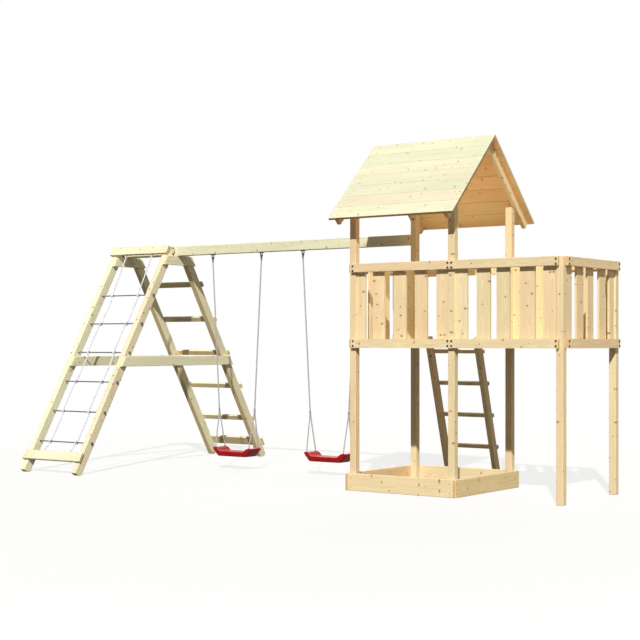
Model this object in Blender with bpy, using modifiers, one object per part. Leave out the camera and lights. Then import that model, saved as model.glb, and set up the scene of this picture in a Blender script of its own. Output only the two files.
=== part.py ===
"""Timber play tower with a gable roof, a raised side platform, a ladder and a double swing.

The tower stands at the right and its swing beam runs left to a climbing frame of two A-shaped leg pairs.
Lengths are metres and +Z is up. X runs along the swing beam, from the climbing frame to the platform.
Y runs from the front of the tower to its rear, where the ladder and the swing beam are.
Sizes below are measured from the tower's front left corner. One empty carries that corner to its place,
so that the whole object stands on z = 0 with its middle over the origin.
"""

import math

import bmesh
import bpy
from mathutils import Matrix, Vector

for old_object in list(bpy.data.objects):
    bpy.data.objects.remove(old_object, do_unlink=True)

# Fits
GAP = 0.0003
SEAT_IN = 0.001
EDGE = 0.003

# Posts and bays, a bay being the pitch of two posts
POST = 0.060
BAY = 0.966
DEPTH = 0.966
PLATFORM_BAY = 0.966
POST_UNDER_ROOF = 0.035

# Rails and the upright boards behind them, which battens hold a little behind the posts' outer faces
RAIL_H = 0.074
RAIL_T = 0.028
LOW_RAIL_Z = 1.210
TOP_RAIL_Z = 1.922
INFILL_COUNT = 5
INFILL_W = 0.118
INFILL_T = 0.019
INFILL_INSET = 0.012
INFILL_IN = 0.013
BATTEN_INSET = 0.017

# How far the two edges of each board stand from an even spacing, where the boards aren't set evenly
EVEN = ((0.0, 0.0),) * INFILL_COUNT
NUDGES = {
    "front_tower": ((0.0, -0.028), (-0.029, -0.032), (-0.022, -0.018), (-0.009, -0.008), (0.002, 0.0)),
    "front_platform": ((0.0, -0.005), (0.002, 0.006), (-0.015, -0.015), (-0.005, 0.008), (0.003, 0.0)),
    "side_platform": ((0.0, -0.002), (0.009, 0.010), (0.011, -0.003), (0.028, 0.028), (0.027, 0.0)),
}

# Floors
JOIST_T = 0.028
JOIST_H = 0.042
JOIST_UP = 0.002
DECK_T = 0.019
DECK_BOARDS = 9
DECK_GAP = 0.006

# Sandbox under the tower
SANDBOX_T = 0.028
SANDBOX_H = 0.146

# Roof, its eaves a little above the swing beam
EAVE_OVER_BEAM = 0.071
ROOF_PITCH = math.radians(44.5)
ROOF_RUN = 0.700
ROOF_T = 0.020
ROOF_BOARDS = 7
ROOF_GROOVE = 0.004
VERGE = 0.059
RAFTER_T = 0.034
RAFTER_H = 0.055
RAFTER_SHORT = 0.002

# Ladder at the rear of the tower
LADDER_LEAN = math.radians(16.33)
LADDER_W = 0.540
LADDER_X = 0.3675
LADDER_OVER_RAIL = 0.008
STRINGER_T = 0.040
STRINGER_D = 0.073
LADDER_RUNGS = 4
LADDER_STEP_UP = 0.297
LADDER_PITCH = 0.3013
LADDER_RUNG_H = 0.032
LADDER_RUNG_T = 0.028
LADDER_RUNG_OVER = 0.003

# Swing beam
BEAM_H = 0.093
BEAM_W = 0.090
BEAM_Z = 2.138

# Climbing frame: its legs lean in towards the beam
FRAME_SPAN = 2.821
FRAME_PITCH = 0.696
LEG_W = 0.060
LEG_D = 0.088
LEG_LEAN = math.radians(30.96)
LEG_SHOULDER = 0.086
FOOT_LIFT = 0.027
CROSS_H = 0.095
CROSS_T = 0.028
MID_BAR_Z = 1.020
FOOT_BOARD_UP = 0.140
BOARD_OVER = 0.012
RUNG_COUNT = 5
RUNG_STEP_UP = 0.4956
RUNG_PITCH = 0.4172
RUNG_H = 0.055
RUNG_T = 0.028

# Rope net between the front legs
NET_ROWS = 6
NET_STEP_UP = 0.3692
NET_PITCH = 0.3352
NET_HALF = 0.178
NET_R = 0.007
NET_CLEAR = 0.001
NET_TAIL = 0.020
CLAMP_R = 0.0115
CLAMP_HALF = 0.010
KNOT_R = 0.015
KNOT_L = 0.018

# Swings
SWING_X = (-2.048, -0.924)
HOOK_HALF = 0.309
PLATE_X = 0.052
PLATE_Y = 0.030
PLATE_T = 0.005
RING_R = 0.015
RING_WIRE = 0.004
LOOP_CLEAR = 0.0005
ROPE_R = 0.006
LOOP_R = 0.005
SPLIT_UP = 0.369
ROPE_HOLE_X = 0.212
ROPE_HOLE_Y = 0.074
SPLIT_X = 0.224
SEAT_L = 0.490
SEAT_D = 0.190
SEAT_Z = 0.130
SEAT_DIP = 0.050
SEAT_WING = 0.080
SEAT_WALL = 0.005
WING_TOP = 0.086
WING_SLOPE = 0.040
SEAT_FOOT_IN = 0.060
SEAT_SIDE_UP = 0.026
ROPE_CLEAR = 0.001
STOP_R = 0.009
SEAT_EDGE = 0.004

# Worked out from the sizes above
TOWER_W = BAY + POST
TOWER_D = DEPTH + POST
LENGTH = BAY + PLATFORM_BAY + POST
INFILL_BACK = INFILL_IN + INFILL_T
BEAM_Y = DEPTH + POST / 2
BEAM_TOP = BEAM_Z + BEAM_H
RIDGE_Y = TOWER_D / 2
RIDGE_Z = BEAM_TOP + EAVE_OVER_BEAM + ROOF_RUN * math.tan(ROOF_PITCH)
ROOF_DROP = ROOF_T / math.cos(ROOF_PITCH)
ROOF_LENGTH = ROOF_RUN / math.cos(ROOF_PITCH)
POST_TOP = RIDGE_Z - RIDGE_Y * math.tan(ROOF_PITCH) - ROOF_DROP - POST_UNDER_ROOF
FRAME_RIGHT = -FRAME_SPAN - LEG_W
FRAME_LEFT = FRAME_RIGHT - FRAME_PITCH
FOOT_HALF = BEAM_W / 2 + LEG_SHOULDER + BEAM_TOP * math.tan(LEG_LEAN)
LEG_LENGTH = BEAM_TOP / math.cos(LEG_LEAN)
HINGE_Z = BEAM_Z - GAP - PLATE_T - RING_WIRE / 2 - 2 * RING_R
KNOT_OUT = GAP + KNOT_L + RING_WIRE
X_LOW = FRAME_LEFT - max(BOARD_OVER, KNOT_OUT)
X_HIGH = LENGTH + GAP + RAIL_T

parts = bpy.data.collections.new("play_tower_with_swing")
guides = bpy.data.collections.new("cutters")
bpy.context.scene.collection.children.link(parts)
bpy.context.scene.collection.children.link(guides)


def empty(name, location, parent=None):
    """An axis or corner that pieces hang on."""
    anchor = bpy.data.objects.new(name, None)
    anchor.location = location
    anchor.parent = parent
    parts.objects.link(anchor)
    return anchor


corner = empty("tower_corner", (-(X_LOW + X_HIGH) / 2, -BEAM_Y, 0.0))


def paint(name, colour, roughness, metallic=0.0):
    """One plain Principled material."""
    material = bpy.data.materials.new(name)
    material.use_nodes = True
    shader = material.node_tree.nodes["Principled BSDF"]
    shader.inputs["Base Color"].default_value = (*colour, 1.0)
    shader.inputs["Roughness"].default_value = roughness
    shader.inputs["Metallic"].default_value = metallic
    return material


PINE = paint("pine", (0.80, 0.60, 0.36), 0.62)
ROOF_PINE = paint("roof_pine", (0.84, 0.72, 0.46), 0.66)
NET_ROPE = paint("net_rope", (0.62, 0.62, 0.64), 0.85)
SWING_ROPE = paint("swing_rope", (0.55, 0.55, 0.56), 0.85)
RED_PLASTIC = paint("red_plastic", (0.62, 0.03, 0.03), 0.38)
DARK_STEEL = paint("dark_steel", (0.09, 0.09, 0.10), 0.42, 0.9)


def add(name, mesh, material, parent=corner):
    """Link a mesh as a named piece."""
    piece = bpy.data.objects.new(name, mesh)
    piece.parent = parent
    mesh.materials.append(material)
    parts.objects.link(piece)
    return piece


def chamfer(piece, width=EDGE, segments=1):
    """Take the sharp edges off a timber, or round them with more segments."""
    modifier = piece.modifiers.new("edges", "BEVEL")
    modifier.width = width
    modifier.segments = segments
    modifier.limit_method = "ANGLE"
    modifier.angle_limit = math.radians(30)
    return piece


def add_box(bm, low, high):
    """A box between two corners, as part of a mesh."""
    low = Vector(low)
    high = Vector(high)
    place = Matrix.Translation((low + high) / 2) @ Matrix.Diagonal((*(high - low), 1.0))
    bmesh.ops.create_cube(bm, size=1.0, matrix=place)


def box_mesh(name, corners, origin=(0.0, 0.0, 0.0)):
    """One mesh of boxes, with its origin at a given point."""
    bm = bmesh.new()
    shift = Vector(origin)
    for low, high in corners:
        add_box(bm, Vector(low) - shift, Vector(high) - shift)
    mesh = bpy.data.meshes.new(name)
    bm.to_mesh(mesh)
    bm.free()
    return mesh


def timber(name, low, high, material=PINE):
    """A straight board between two corners, its origin at its middle."""
    middle = (Vector(low) + Vector(high)) / 2
    piece = add(name, box_mesh(name, [(low, high)], middle), material)
    piece.location = middle
    return chamfer(piece)


def turned(piece, location, axis, angle):
    """Stand a piece at its place, turned about one axis."""
    piece.location = location
    piece.rotation_euler = Matrix.Rotation(angle, 3, axis).to_euler()
    return piece


def cut_flat(piece, point, normal):
    """Saw off what lies on the side that the normal points to, in the tower's own lengths."""
    to_local = piece.matrix_basis.inverted()
    bm = bmesh.new()
    bm.from_mesh(piece.data)
    bmesh.ops.bisect_plane(
        bm,
        geom=bm.verts[:] + bm.edges[:] + bm.faces[:],
        dist=1e-6,
        plane_co=to_local @ Vector(point),
        plane_no=to_local.to_3x3() @ Vector(normal),
        clear_outer=True,
    )
    bmesh.ops.holes_fill(bm, edges=[edge for edge in bm.edges if edge.is_boundary], sides=0)
    bmesh.ops.recalc_face_normals(bm, faces=bm.faces[:])
    bm.to_mesh(piece.data)
    bm.free()


def guide(name, mesh, like):
    """A hidden mesh that cuts or joins, placed as another piece is."""
    helper = bpy.data.objects.new(name, mesh)
    helper.parent = like.parent
    helper.location = like.location
    helper.rotation_euler = like.rotation_euler
    helper.hide_render = True
    helper.display_type = "WIRE"
    guides.objects.link(helper)
    return helper


def combine(piece, helper, operation):
    """Join a piece with a helper, or cut it by one."""
    modifier = piece.modifiers.new(operation.lower(), "BOOLEAN")
    modifier.operation = operation
    modifier.object = helper
    return piece


def mesh_of_curve(data, name):
    """The mesh of a curve, its caps welded to its sides."""
    curve = bpy.data.objects.new(name, data)
    bpy.context.scene.collection.objects.link(curve)
    graph = bpy.context.evaluated_depsgraph_get()
    mesh = bpy.data.meshes.new_from_object(curve.evaluated_get(graph))
    bpy.data.objects.remove(curve, do_unlink=True)
    bpy.data.curves.remove(data)
    bm = bmesh.new()
    bm.from_mesh(mesh)
    bmesh.ops.remove_doubles(bm, verts=bm.verts[:], dist=1e-5)
    bmesh.ops.recalc_face_normals(bm, faces=bm.faces[:])
    bm.to_mesh(mesh)
    bm.free()
    mesh.name = name
    mesh.shade_smooth()
    mesh.set_sharp_from_angle(angle=math.radians(40))
    return mesh


def tube_mesh(name, routes, closed=False):
    """Round tubes in one mesh: each route is a list of points with the radius there."""
    data = bpy.data.curves.new(name, "CURVE")
    data.dimensions = "3D"
    data.bevel_depth = 1.0
    data.bevel_resolution = 2
    data.use_fill_caps = not closed
    data.twist_mode = "MINIMUM"
    for route in routes:
        spline = data.splines.new("POLY")
        spline.points.add(len(route) - 1)
        spline.use_cyclic_u = closed
        for point, (place, radius) in zip(spline.points, route):
            point.co = (*place, 1.0)
            point.radius = radius
    return mesh_of_curve(data, name)


def prism_mesh(name, outline, thickness):
    """A flat outline given thickness, half to each side."""
    data = bpy.data.curves.new(name, "CURVE")
    data.dimensions = "2D"
    data.fill_mode = "BOTH"
    data.extrude = thickness / 2
    spline = data.splines.new("POLY")
    spline.points.add(len(outline) - 1)
    spline.use_cyclic_u = True
    for point, place in zip(spline.points, outline):
        point.co = (*place, 0.0, 1.0)
    return mesh_of_curve(data, name)


def build_posts():
    """Four posts up to the roof and two up to the platform's railing."""
    rear = DEPTH
    posts = {
        "tower_post_front_left": (0.0, 0.0, POST_TOP),
        "tower_post_front_right": (BAY, 0.0, POST_TOP),
        "tower_post_rear_left": (0.0, rear, POST_TOP),
        "tower_post_rear_right": (BAY, rear, POST_TOP),
        "platform_post_front": (BAY + PLATFORM_BAY, 0.0, TOP_RAIL_Z),
        "platform_post_rear": (BAY + PLATFORM_BAY, rear, TOP_RAIL_Z),
    }
    for name, (x, y, top) in posts.items():
        timber(name, (x, y, 0.0), (x + POST, y + POST, top))


def rail_box(span, bottom):
    """A rail from post middle to post middle, standing clear of the posts' outer face at y = 0."""
    return (GAP, -GAP - RAIL_T, bottom), (span - GAP, -GAP, bottom + RAIL_H)


def rail(name, span, bottom, location, angle):
    """A rail that is a piece of its own."""
    low, high = rail_box(span, bottom)
    return chamfer(turned(add(name, box_mesh(name, [(low, high)]), PINE), location, "Z", angle))


def railing(word, span, location, angle):
    """A low rail with a batten behind it, the upright boards on the batten and a second batten at their heads."""
    name = "railing_" + word
    low, high = rail_box(span, LOW_RAIL_Z)
    clear = POST / 2 + GAP
    back = INFILL_IN + SEAT_IN
    foot = (clear, low[1] / 2, low[2] + BATTEN_INSET), (span - clear, back, high[2] - BATTEN_INSET)
    head = (clear, 0.0, TOP_RAIL_Z - RAIL_H + BATTEN_INSET), (span - clear, back, TOP_RAIL_Z - BATTEN_INSET)
    step = (span - 2 * clear - INFILL_W) / (INFILL_COUNT - 1)
    boards = []
    for index, (left, right) in enumerate(NUDGES.get(word, EVEN)):
        x = clear + index * step
        bottom = (x + left, INFILL_IN, LOW_RAIL_Z + INFILL_INSET)
        top = (x + INFILL_W + right, INFILL_BACK, TOP_RAIL_Z - INFILL_INSET)
        boards.append((bottom, top))
    piece = turned(add(name, box_mesh(name, [(low, high)]), PINE), location, "Z", angle)
    for part, corners in (("_battens", [foot, head]), ("_boards", boards)):
        combine(piece, guide(name + part, box_mesh(name + part, corners), piece), "UNION")
    return piece


def build_railings():
    """Rails on the outer faces of the posts, and boards on every side that is closed."""
    middle = POST / 2
    sides = {
        "front_tower": (BAY, (middle, 0.0, 0.0), 0.0),
        "front_platform": (PLATFORM_BAY, (middle + BAY, 0.0, 0.0), 0.0),
        "side_platform": (DEPTH, (LENGTH, middle, 0.0), math.pi / 2),
        "rear_platform": (PLATFORM_BAY, (LENGTH - middle, TOWER_D, 0.0), math.pi),
        "side_tower": (DEPTH, (0.0, middle + DEPTH, 0.0), -math.pi / 2),
    }
    top = TOP_RAIL_Z - RAIL_H
    for name, (span, location, angle) in sides.items():
        railing(name, span, location, angle)
        rail("top_rail_" + name, span, top, location, angle)
    rear = (middle + BAY, TOWER_D, 0.0)
    rail("top_rail_rear_tower", BAY, top, rear, math.pi)
    rail("low_rail_rear_tower", BAY, LOW_RAIL_Z, rear, math.pi)


def deck(name, left, right, left_edge, right_edge):
    """A floor of boards along X on three joists, between posts with the given inner faces."""
    front = INFILL_BACK + GAP
    rear = TOWER_D - INFILL_BACK - GAP
    low = LOW_RAIL_Z + JOIST_UP
    high = low + JOIST_H
    centre = (left + right - JOIST_T) / 2
    joists = []
    for x in (left + GAP, centre, right - GAP - JOIST_T):
        joists.append(((x, front, low), (x + JOIST_T, rear, high)))
    inner = POST + GAP
    space = TOWER_D - 2 * inner
    width = (space - (DECK_BOARDS - 1) * DECK_GAP) / DECK_BOARDS
    under = high - SEAT_IN
    boards = []
    for index in range(DECK_BOARDS):
        y = inner + index * (width + DECK_GAP)
        boards.append(((left_edge, y, under), (right_edge, y + width, under + DECK_T)))
    for near, far in ((front, inner - DECK_GAP), (TOWER_D - inner + DECK_GAP, rear)):
        boards.append(((left + GAP, near, under), (right - GAP, far, under + DECK_T)))
    piece = add(name, box_mesh(name, boards), PINE)
    return combine(piece, guide(name + "_joists", box_mesh(name + "_joists", joists), piece), "UNION")


def build_decks():
    """One floor in the tower and one in the platform, meeting at the middle of the shared posts."""
    shared = BAY + POST / 2
    deck("deck_tower", POST, BAY, INFILL_BACK + GAP, shared - GAP / 2)
    deck("deck_platform", TOWER_W, BAY + PLATFORM_BAY, shared + GAP / 2, LENGTH - INFILL_BACK - GAP)


def build_sandbox():
    """Four boards on edge round the feet of the tower's posts."""
    outer = GAP + SANDBOX_T
    side_low = (-outer, -outer, 0.0)
    side_high = (-GAP, TOWER_D + outer, SANDBOX_H)
    across = TOWER_W + outer + GAP
    timber("sandbox_board_left", side_low, side_high)
    right_low = (side_low[0] + across, *side_low[1:])
    right_high = (side_high[0] + across, *side_high[1:])
    timber("sandbox_board_right", right_low, right_high)
    timber("sandbox_board_front", (0.0, -outer, 0.0), (TOWER_W, -GAP, SANDBOX_H))
    timber("sandbox_board_rear", (0.0, TOWER_D + GAP, 0.0), (TOWER_W, TOWER_D + outer, SANDBOX_H))


def roof_outline():
    """Section of one roof slope, from its eave at x = 0 up to the ridge, with a groove at each joint."""
    board = ROOF_LENGTH / ROOF_BOARDS
    half = ROOF_GROOVE / 2
    mitre = ROOF_T * math.tan(ROOF_PITCH)
    gap_back = GAP / math.cos(ROOF_PITCH)
    top = [(0.0, 0.0)]
    under = [(0.0, -ROOF_T)]
    for index in range(1, ROOF_BOARDS):
        joint = index * board
        top += [(joint - half, 0.0), (joint, -ROOF_GROOVE), (joint + half, 0.0)]
        under += [(joint - half, -ROOF_T), (joint, -ROOF_T + ROOF_GROOVE), (joint + half, -ROOF_T)]
    top.append((ROOF_LENGTH - gap_back, 0.0))
    under.append((ROOF_LENGTH - gap_back - mitre, -ROOF_T))
    return under + top[::-1]


def slope_matrix(side, x):
    """Stands a section drawn up the slope and outwards at its place; side is -1 in front and 1 at the rear."""
    up_slope = Vector((0.0, -side * math.cos(ROOF_PITCH), math.sin(ROOF_PITCH)))
    outwards = Vector((0.0, side * math.sin(ROOF_PITCH), math.cos(ROOF_PITCH)))
    along = up_slope.cross(outwards)
    eave = Vector((x, RIDGE_Y, RIDGE_Z)) - up_slope * ROOF_LENGTH
    place = Matrix((up_slope, outwards, along)).transposed().to_4x4()
    place.translation = eave
    return place


def rafter_outline():
    """Section of a rafter under the roof boards, square at its tail and upright at the ridge."""
    upper = -ROOF_T - GAP
    lower = upper - RAFTER_H
    lean = math.tan(ROOF_PITCH)
    gap_back = GAP / math.cos(ROOF_PITCH)
    tail = RAFTER_SHORT
    ridge = ROOF_LENGTH - gap_back
    return [(tail, lower), (ridge + lower * lean, lower), (ridge + upper * lean, upper), (tail, upper)]


def build_roof():
    """Two slopes of boards and the four rafters that carry them on the posts."""
    for word, side in (("front", -1), ("rear", 1)):
        name = "roof_" + word
        width = TOWER_W + 2 * (GAP + RAFTER_T + VERGE)
        slope = add(name, prism_mesh(name, roof_outline(), width), ROOF_PINE)
        slope.matrix_basis = slope_matrix(side, TOWER_W / 2)
        for hand, x in (("left", -GAP - RAFTER_T / 2), ("right", TOWER_W + GAP + RAFTER_T / 2)):
            name = f"rafter_{word}_{hand}"
            rafter = add(name, prism_mesh(name, rafter_outline(), RAFTER_T), PINE)
            rafter.matrix_basis = slope_matrix(side, x)


def build_ladder():
    """A ladder that leans against the low rail at the rear of the tower."""
    rail_face = TOWER_D + GAP + RAIL_T + GAP
    rail_top = LOW_RAIL_Z + RAIL_H
    foot = (LADDER_X, rail_face + (rail_top - EDGE) * math.tan(LADDER_LEAN), 0.0)
    half = LADDER_W / 2
    reach = (rail_top + LADDER_OVER_RAIL) / math.cos(LADDER_LEAN)
    spare = STRINGER_D
    stringers = []
    for x in (-half, half - STRINGER_T):
        stringers.append(((x, 0.0, -spare), (x + STRINGER_T, STRINGER_D, reach)))
    rungs = []
    for index in range(LADDER_RUNGS):
        z = LADDER_STEP_UP + index * LADDER_PITCH - LADDER_RUNG_H / 2
        low = (-half - LADDER_RUNG_OVER, STRINGER_D - SEAT_IN, z)
        high = (half + LADDER_RUNG_OVER, STRINGER_D + LADDER_RUNG_T, z + LADDER_RUNG_H)
        rungs.append((low, high))
    name = "access_ladder"
    ladder = turned(add(name, box_mesh(name, stringers), PINE), foot, "X", LADDER_LEAN)
    cut_flat(ladder, (0.0, 0.0, 0.0), (0.0, 0.0, -1.0))
    combine(ladder, guide(name + "_rungs", box_mesh(name + "_rungs", rungs), ladder), "UNION")


def lean_foot(side, x=0.0):
    """Where the outer line of the legs meets the ground."""
    return (x, BEAM_Y + side * FOOT_HALF, 0.0)


def leaning_board(name, side, low, high, material=PINE):
    """A board in the slope of the legs: x across, y outwards from their outer face, z up the slope."""
    near, far = sorted((side * low[1], side * high[1]))
    corners = [((low[0], near, low[2]), (high[0], far, high[2]))]
    piece = turned(add(name, box_mesh(name, corners), material), lean_foot(side), "X", side * LEG_LEAN)
    return piece


def trim_to_slopes(piece):
    """Cut the ends of a board across the legs flush with their outer faces."""
    for side in (-1, 1):
        normal = (0.0, side * math.cos(LEG_LEAN), math.sin(LEG_LEAN))
        cut_flat(piece, lean_foot(side), normal)


def net_holes(leg):
    """Holes along X through a front leg, one for each cross rope."""
    bm = bmesh.new()
    for index in range(NET_ROWS):
        centre = Vector((FRAME_LEFT + (FRAME_PITCH + LEG_W) / 2, LEG_D / 2, NET_STEP_UP + index * NET_PITCH))
        bmesh.ops.create_cone(
            bm,
            cap_ends=True,
            segments=8,
            radius1=NET_R + NET_CLEAR,
            radius2=NET_R + NET_CLEAR,
            depth=FRAME_PITCH + 3 * LEG_W,
            matrix=Matrix.Translation(centre) @ Matrix.Rotation(math.pi / 2, 4, "Y"),
        )
    mesh = bpy.data.meshes.new("net_holes")
    bm.to_mesh(mesh)
    bm.free()
    return guide(leg.name + "_holes", mesh, leg)


def build_legs():
    """Two A-shaped pairs of legs, notched round the swing beam at their heads."""
    for hand, x in (("left", FRAME_LEFT), ("right", FRAME_RIGHT)):
        for word, side in (("front", -1), ("rear", 1)):
            name = f"climb_leg_{word}_{hand}"
            start = FOOT_LIFT / math.cos(LEG_LEAN)
            low = (x, -LEG_D, start)
            high = (x + LEG_W, 0.0, LEG_LENGTH + LEG_D)
            leg = leaning_board(name, side, low, high)
            cut_flat(leg, (0.0, 0.0, 0.0), (0.0, 0.0, -1.0))
            cut_flat(leg, (0.0, 0.0, BEAM_TOP), (0.0, 0.0, 1.0))
            cut_flat(leg, (0.0, BEAM_Y + side * (BEAM_W / 2 + GAP), 0.0), (0.0, -side, 0.0))
            chamfer(leg, EDGE)
            if side < 0:
                combine(leg, net_holes(leg), "DIFFERENCE")


def cross_bar(name, x, bottom):
    """A level board across one pair of legs, on their right faces."""
    low = (x + LEG_W + GAP, BEAM_Y - FOOT_HALF, bottom)
    high = (x + LEG_W + GAP + CROSS_T, BEAM_Y + FOOT_HALF, bottom + CROSS_H)
    piece = add(name, box_mesh(name, [(low, high)]), PINE)
    trim_to_slopes(piece)
    return chamfer(piece)


def build_frame():
    """Boards and rungs of the climbing frame, and the beam that rests on its collars."""
    timber("swing_beam", (FRAME_LEFT, BEAM_Y - BEAM_W / 2, BEAM_Z), (-GAP, BEAM_Y + BEAM_W / 2, BEAM_TOP))
    for hand, x in (("left", FRAME_LEFT), ("right", FRAME_RIGHT)):
        cross_bar("climb_collar_" + hand, x, BEAM_Z - GAP - CROSS_H)
        cross_bar("climb_mid_bar_" + hand, x, MID_BAR_Z)
    left = FRAME_LEFT - BOARD_OVER
    right = FRAME_RIGHT + LEG_W + BOARD_OVER
    outer = GAP + CROSS_T
    boards = {
        "climb_top_board": (-1, LEG_LENGTH - CROSS_H),
        "climb_foot_board_front": (-1, FOOT_BOARD_UP),
        "climb_foot_board_rear": (1, FOOT_BOARD_UP),
    }
    for name, (side, up) in boards.items():
        chamfer(leaning_board(name, side, (left, GAP, up), (right, outer, up + CROSS_H)))
    for index in range(RUNG_COUNT):
        up = RUNG_STEP_UP + index * RUNG_PITCH - RUNG_H / 2
        name = f"climb_rung_{index + 1}"
        chamfer(leaning_board(name, 1, (left, GAP, up), (right, GAP + RUNG_T, up + RUNG_H)))


def net_row(z):
    """One cross rope through both front legs, with a stopper knot outside each."""
    y = LEG_D / 2
    left = FRAME_LEFT
    right = FRAME_RIGHT + LEG_W
    bulge = [(0.0, NET_R), (0.0002, 0.8 * KNOT_R), (0.22 * KNOT_L, KNOT_R), (0.70 * KNOT_L, KNOT_R)]
    bulge += [(KNOT_L, 0.6 * KNOT_R), (KNOT_L + RING_WIRE / 2, NET_R)]
    start = [((left - GAP - out, y, z), radius) for out, radius in reversed(bulge)]
    end = [((right + GAP + out, y, z), radius) for out, radius in bulge]
    return start + end


def net_riser(x):
    """One long rope up the net, clamped at each cross rope and held behind the boards at its ends."""
    deep = LEG_D / 2
    shallow = NET_R
    board_low = FOOT_BOARD_UP
    board_high = LEG_LENGTH
    route = [((x, shallow, board_low + NET_TAIL), NET_R), ((x, shallow, board_low + CROSS_H), NET_R)]
    for index in range(NET_ROWS):
        z = NET_STEP_UP + index * NET_PITCH
        taper = CLAMP_HALF + NET_R / 2
        route += [((x, deep, z - taper), NET_R), ((x, deep, z - CLAMP_HALF), CLAMP_R)]
        route += [((x, deep, z + CLAMP_HALF), CLAMP_R), ((x, deep, z + taper), NET_R)]
    route += [((x, shallow, board_high - CROSS_H), NET_R), ((x, shallow, board_high - NET_TAIL), NET_R)]
    return route


def build_net():
    """The rope net between the front legs, in the legs' own slope."""
    rows = [net_row(NET_STEP_UP + index * NET_PITCH) for index in range(NET_ROWS)]
    middle = FRAME_LEFT + (FRAME_PITCH + LEG_W) / 2
    risers = [net_riser(middle + sign * NET_HALF) for sign in (-1, 1)]
    net = turned(add("climb_net", tube_mesh("climb_net", risers), NET_ROPE), lean_foot(-1), "X", -LEG_LEAN)
    combine(net, guide("climb_net_rows", tube_mesh("climb_net_rows", rows), net), "UNION")


def ring_points(centre, radius, across, count=16):
    """Points round a ring; across is the ring's own axis, X or Y."""
    points = []
    for index in range(count):
        angle = 2 * math.pi * index / count
        flat = radius * math.cos(angle)
        up = radius * math.sin(angle)
        offset = Vector((0.0, flat, up)) if across == "X" else Vector((flat, 0.0, up))
        points.append(Vector(centre) + offset)
    return points


def hook(name, x):
    """A steel plate screwed under the beam with the ring that a rope hangs in."""
    centre = Vector((x, BEAM_Y, HINGE_Z + RING_R))
    ring = [(point, RING_WIRE) for point in ring_points((0.0, 0.0, 0.0), RING_R, "Y")]
    piece = add(name, tube_mesh(name, [ring], closed=True), DARK_STEEL)
    piece.location = centre
    plate_top = BEAM_Z - GAP - centre.z
    low = (-PLATE_X / 2, -PLATE_Y / 2, plate_top - PLATE_T)
    high = (PLATE_X / 2, PLATE_Y / 2, plate_top)
    combine(piece, guide(name + "_plate", box_mesh(name + "_plate", [(low, high)]), piece), "UNION")


def harness(name, sign, axis):
    """The rope on one side of a swing: a loop in its ring, a long run and two tails to the seat."""
    hook_x = sign * HOOK_HALF
    loop_top = RING_WIRE + LOOP_CLEAR + LOOP_R
    loop_centre = (hook_x, 0.0, loop_top - (LOOP_R + RING_WIRE + LOOP_CLEAR) * 1.5)
    loop_radius = loop_top - loop_centre[2]
    loop = [(point, LOOP_R) for point in ring_points(loop_centre, loop_radius, "X")]
    seat_top = SEAT_Z + WING_TOP + LOOP_CLEAR - HINGE_Z
    split = Vector((sign * SPLIT_X, 0.0, seat_top + SPLIT_UP))
    run_top = Vector((hook_x, 0.0, loop_centre[2] - loop_radius))
    run = [(run_top, ROPE_R), (split + Vector((0.0, 0.0, ROPE_R)), ROPE_R)]
    run.append((split - Vector((0.0, 0.0, ROPE_R)), 1.6 * ROPE_R))
    run.append((split - Vector((0.0, 0.0, 4 * ROPE_R)), ROPE_R))
    tails = []
    for rear in (-1, 1):
        hole = Vector((sign * ROPE_HOLE_X, rear * ROPE_HOLE_Y, seat_top))
        down = (hole - split).normalized()
        tilt = math.sqrt(1.0 - down.z ** 2)
        knot = hole - down * (LOOP_CLEAR + SEAT_WALL + GAP + STOP_R * tilt) / down.z
        tail = [(split, ROPE_R), (knot, ROPE_R), (knot + down * 0.0002, 0.9 * STOP_R)]
        tail += [(knot + down * STOP_R / 2, STOP_R), (knot + down * 1.4 * STOP_R, 0.7 * STOP_R)]
        tails.append(tail)
    piece = add(name, tube_mesh(name, [loop], closed=True), SWING_ROPE, axis)
    for index, route in enumerate([run, *tails]):
        part = f"{name}_{index + 1}"
        combine(piece, guide(part, tube_mesh(part, [route]), piece), "UNION")


def seat_outline(wall):
    """Section of the seat in X and Z from its middle foot, drawn in by a wall."""
    half = SEAT_L / 2
    foot = half - SEAT_FOOT_IN
    wing = half - SEAT_WING
    right = [
        (foot - wall / 2, wall),
        (half - wall, SEAT_SIDE_UP + wall / 2),
        (half - wall, WING_TOP - wall),
        (wing + wall / 2, WING_TOP - wall),
        (wing - WING_SLOPE + wall / 2, SEAT_DIP - wall),
    ]
    return right + [(-x, z) for x, z in reversed(right)]


def seat_hollow():
    """Section of the space under the seat, open downwards."""
    outline = seat_outline(SEAT_WALL)
    below = -SEAT_WALL
    return [(outline[0][0], below), *outline[1:-1], (outline[-1][0], below)]


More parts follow.
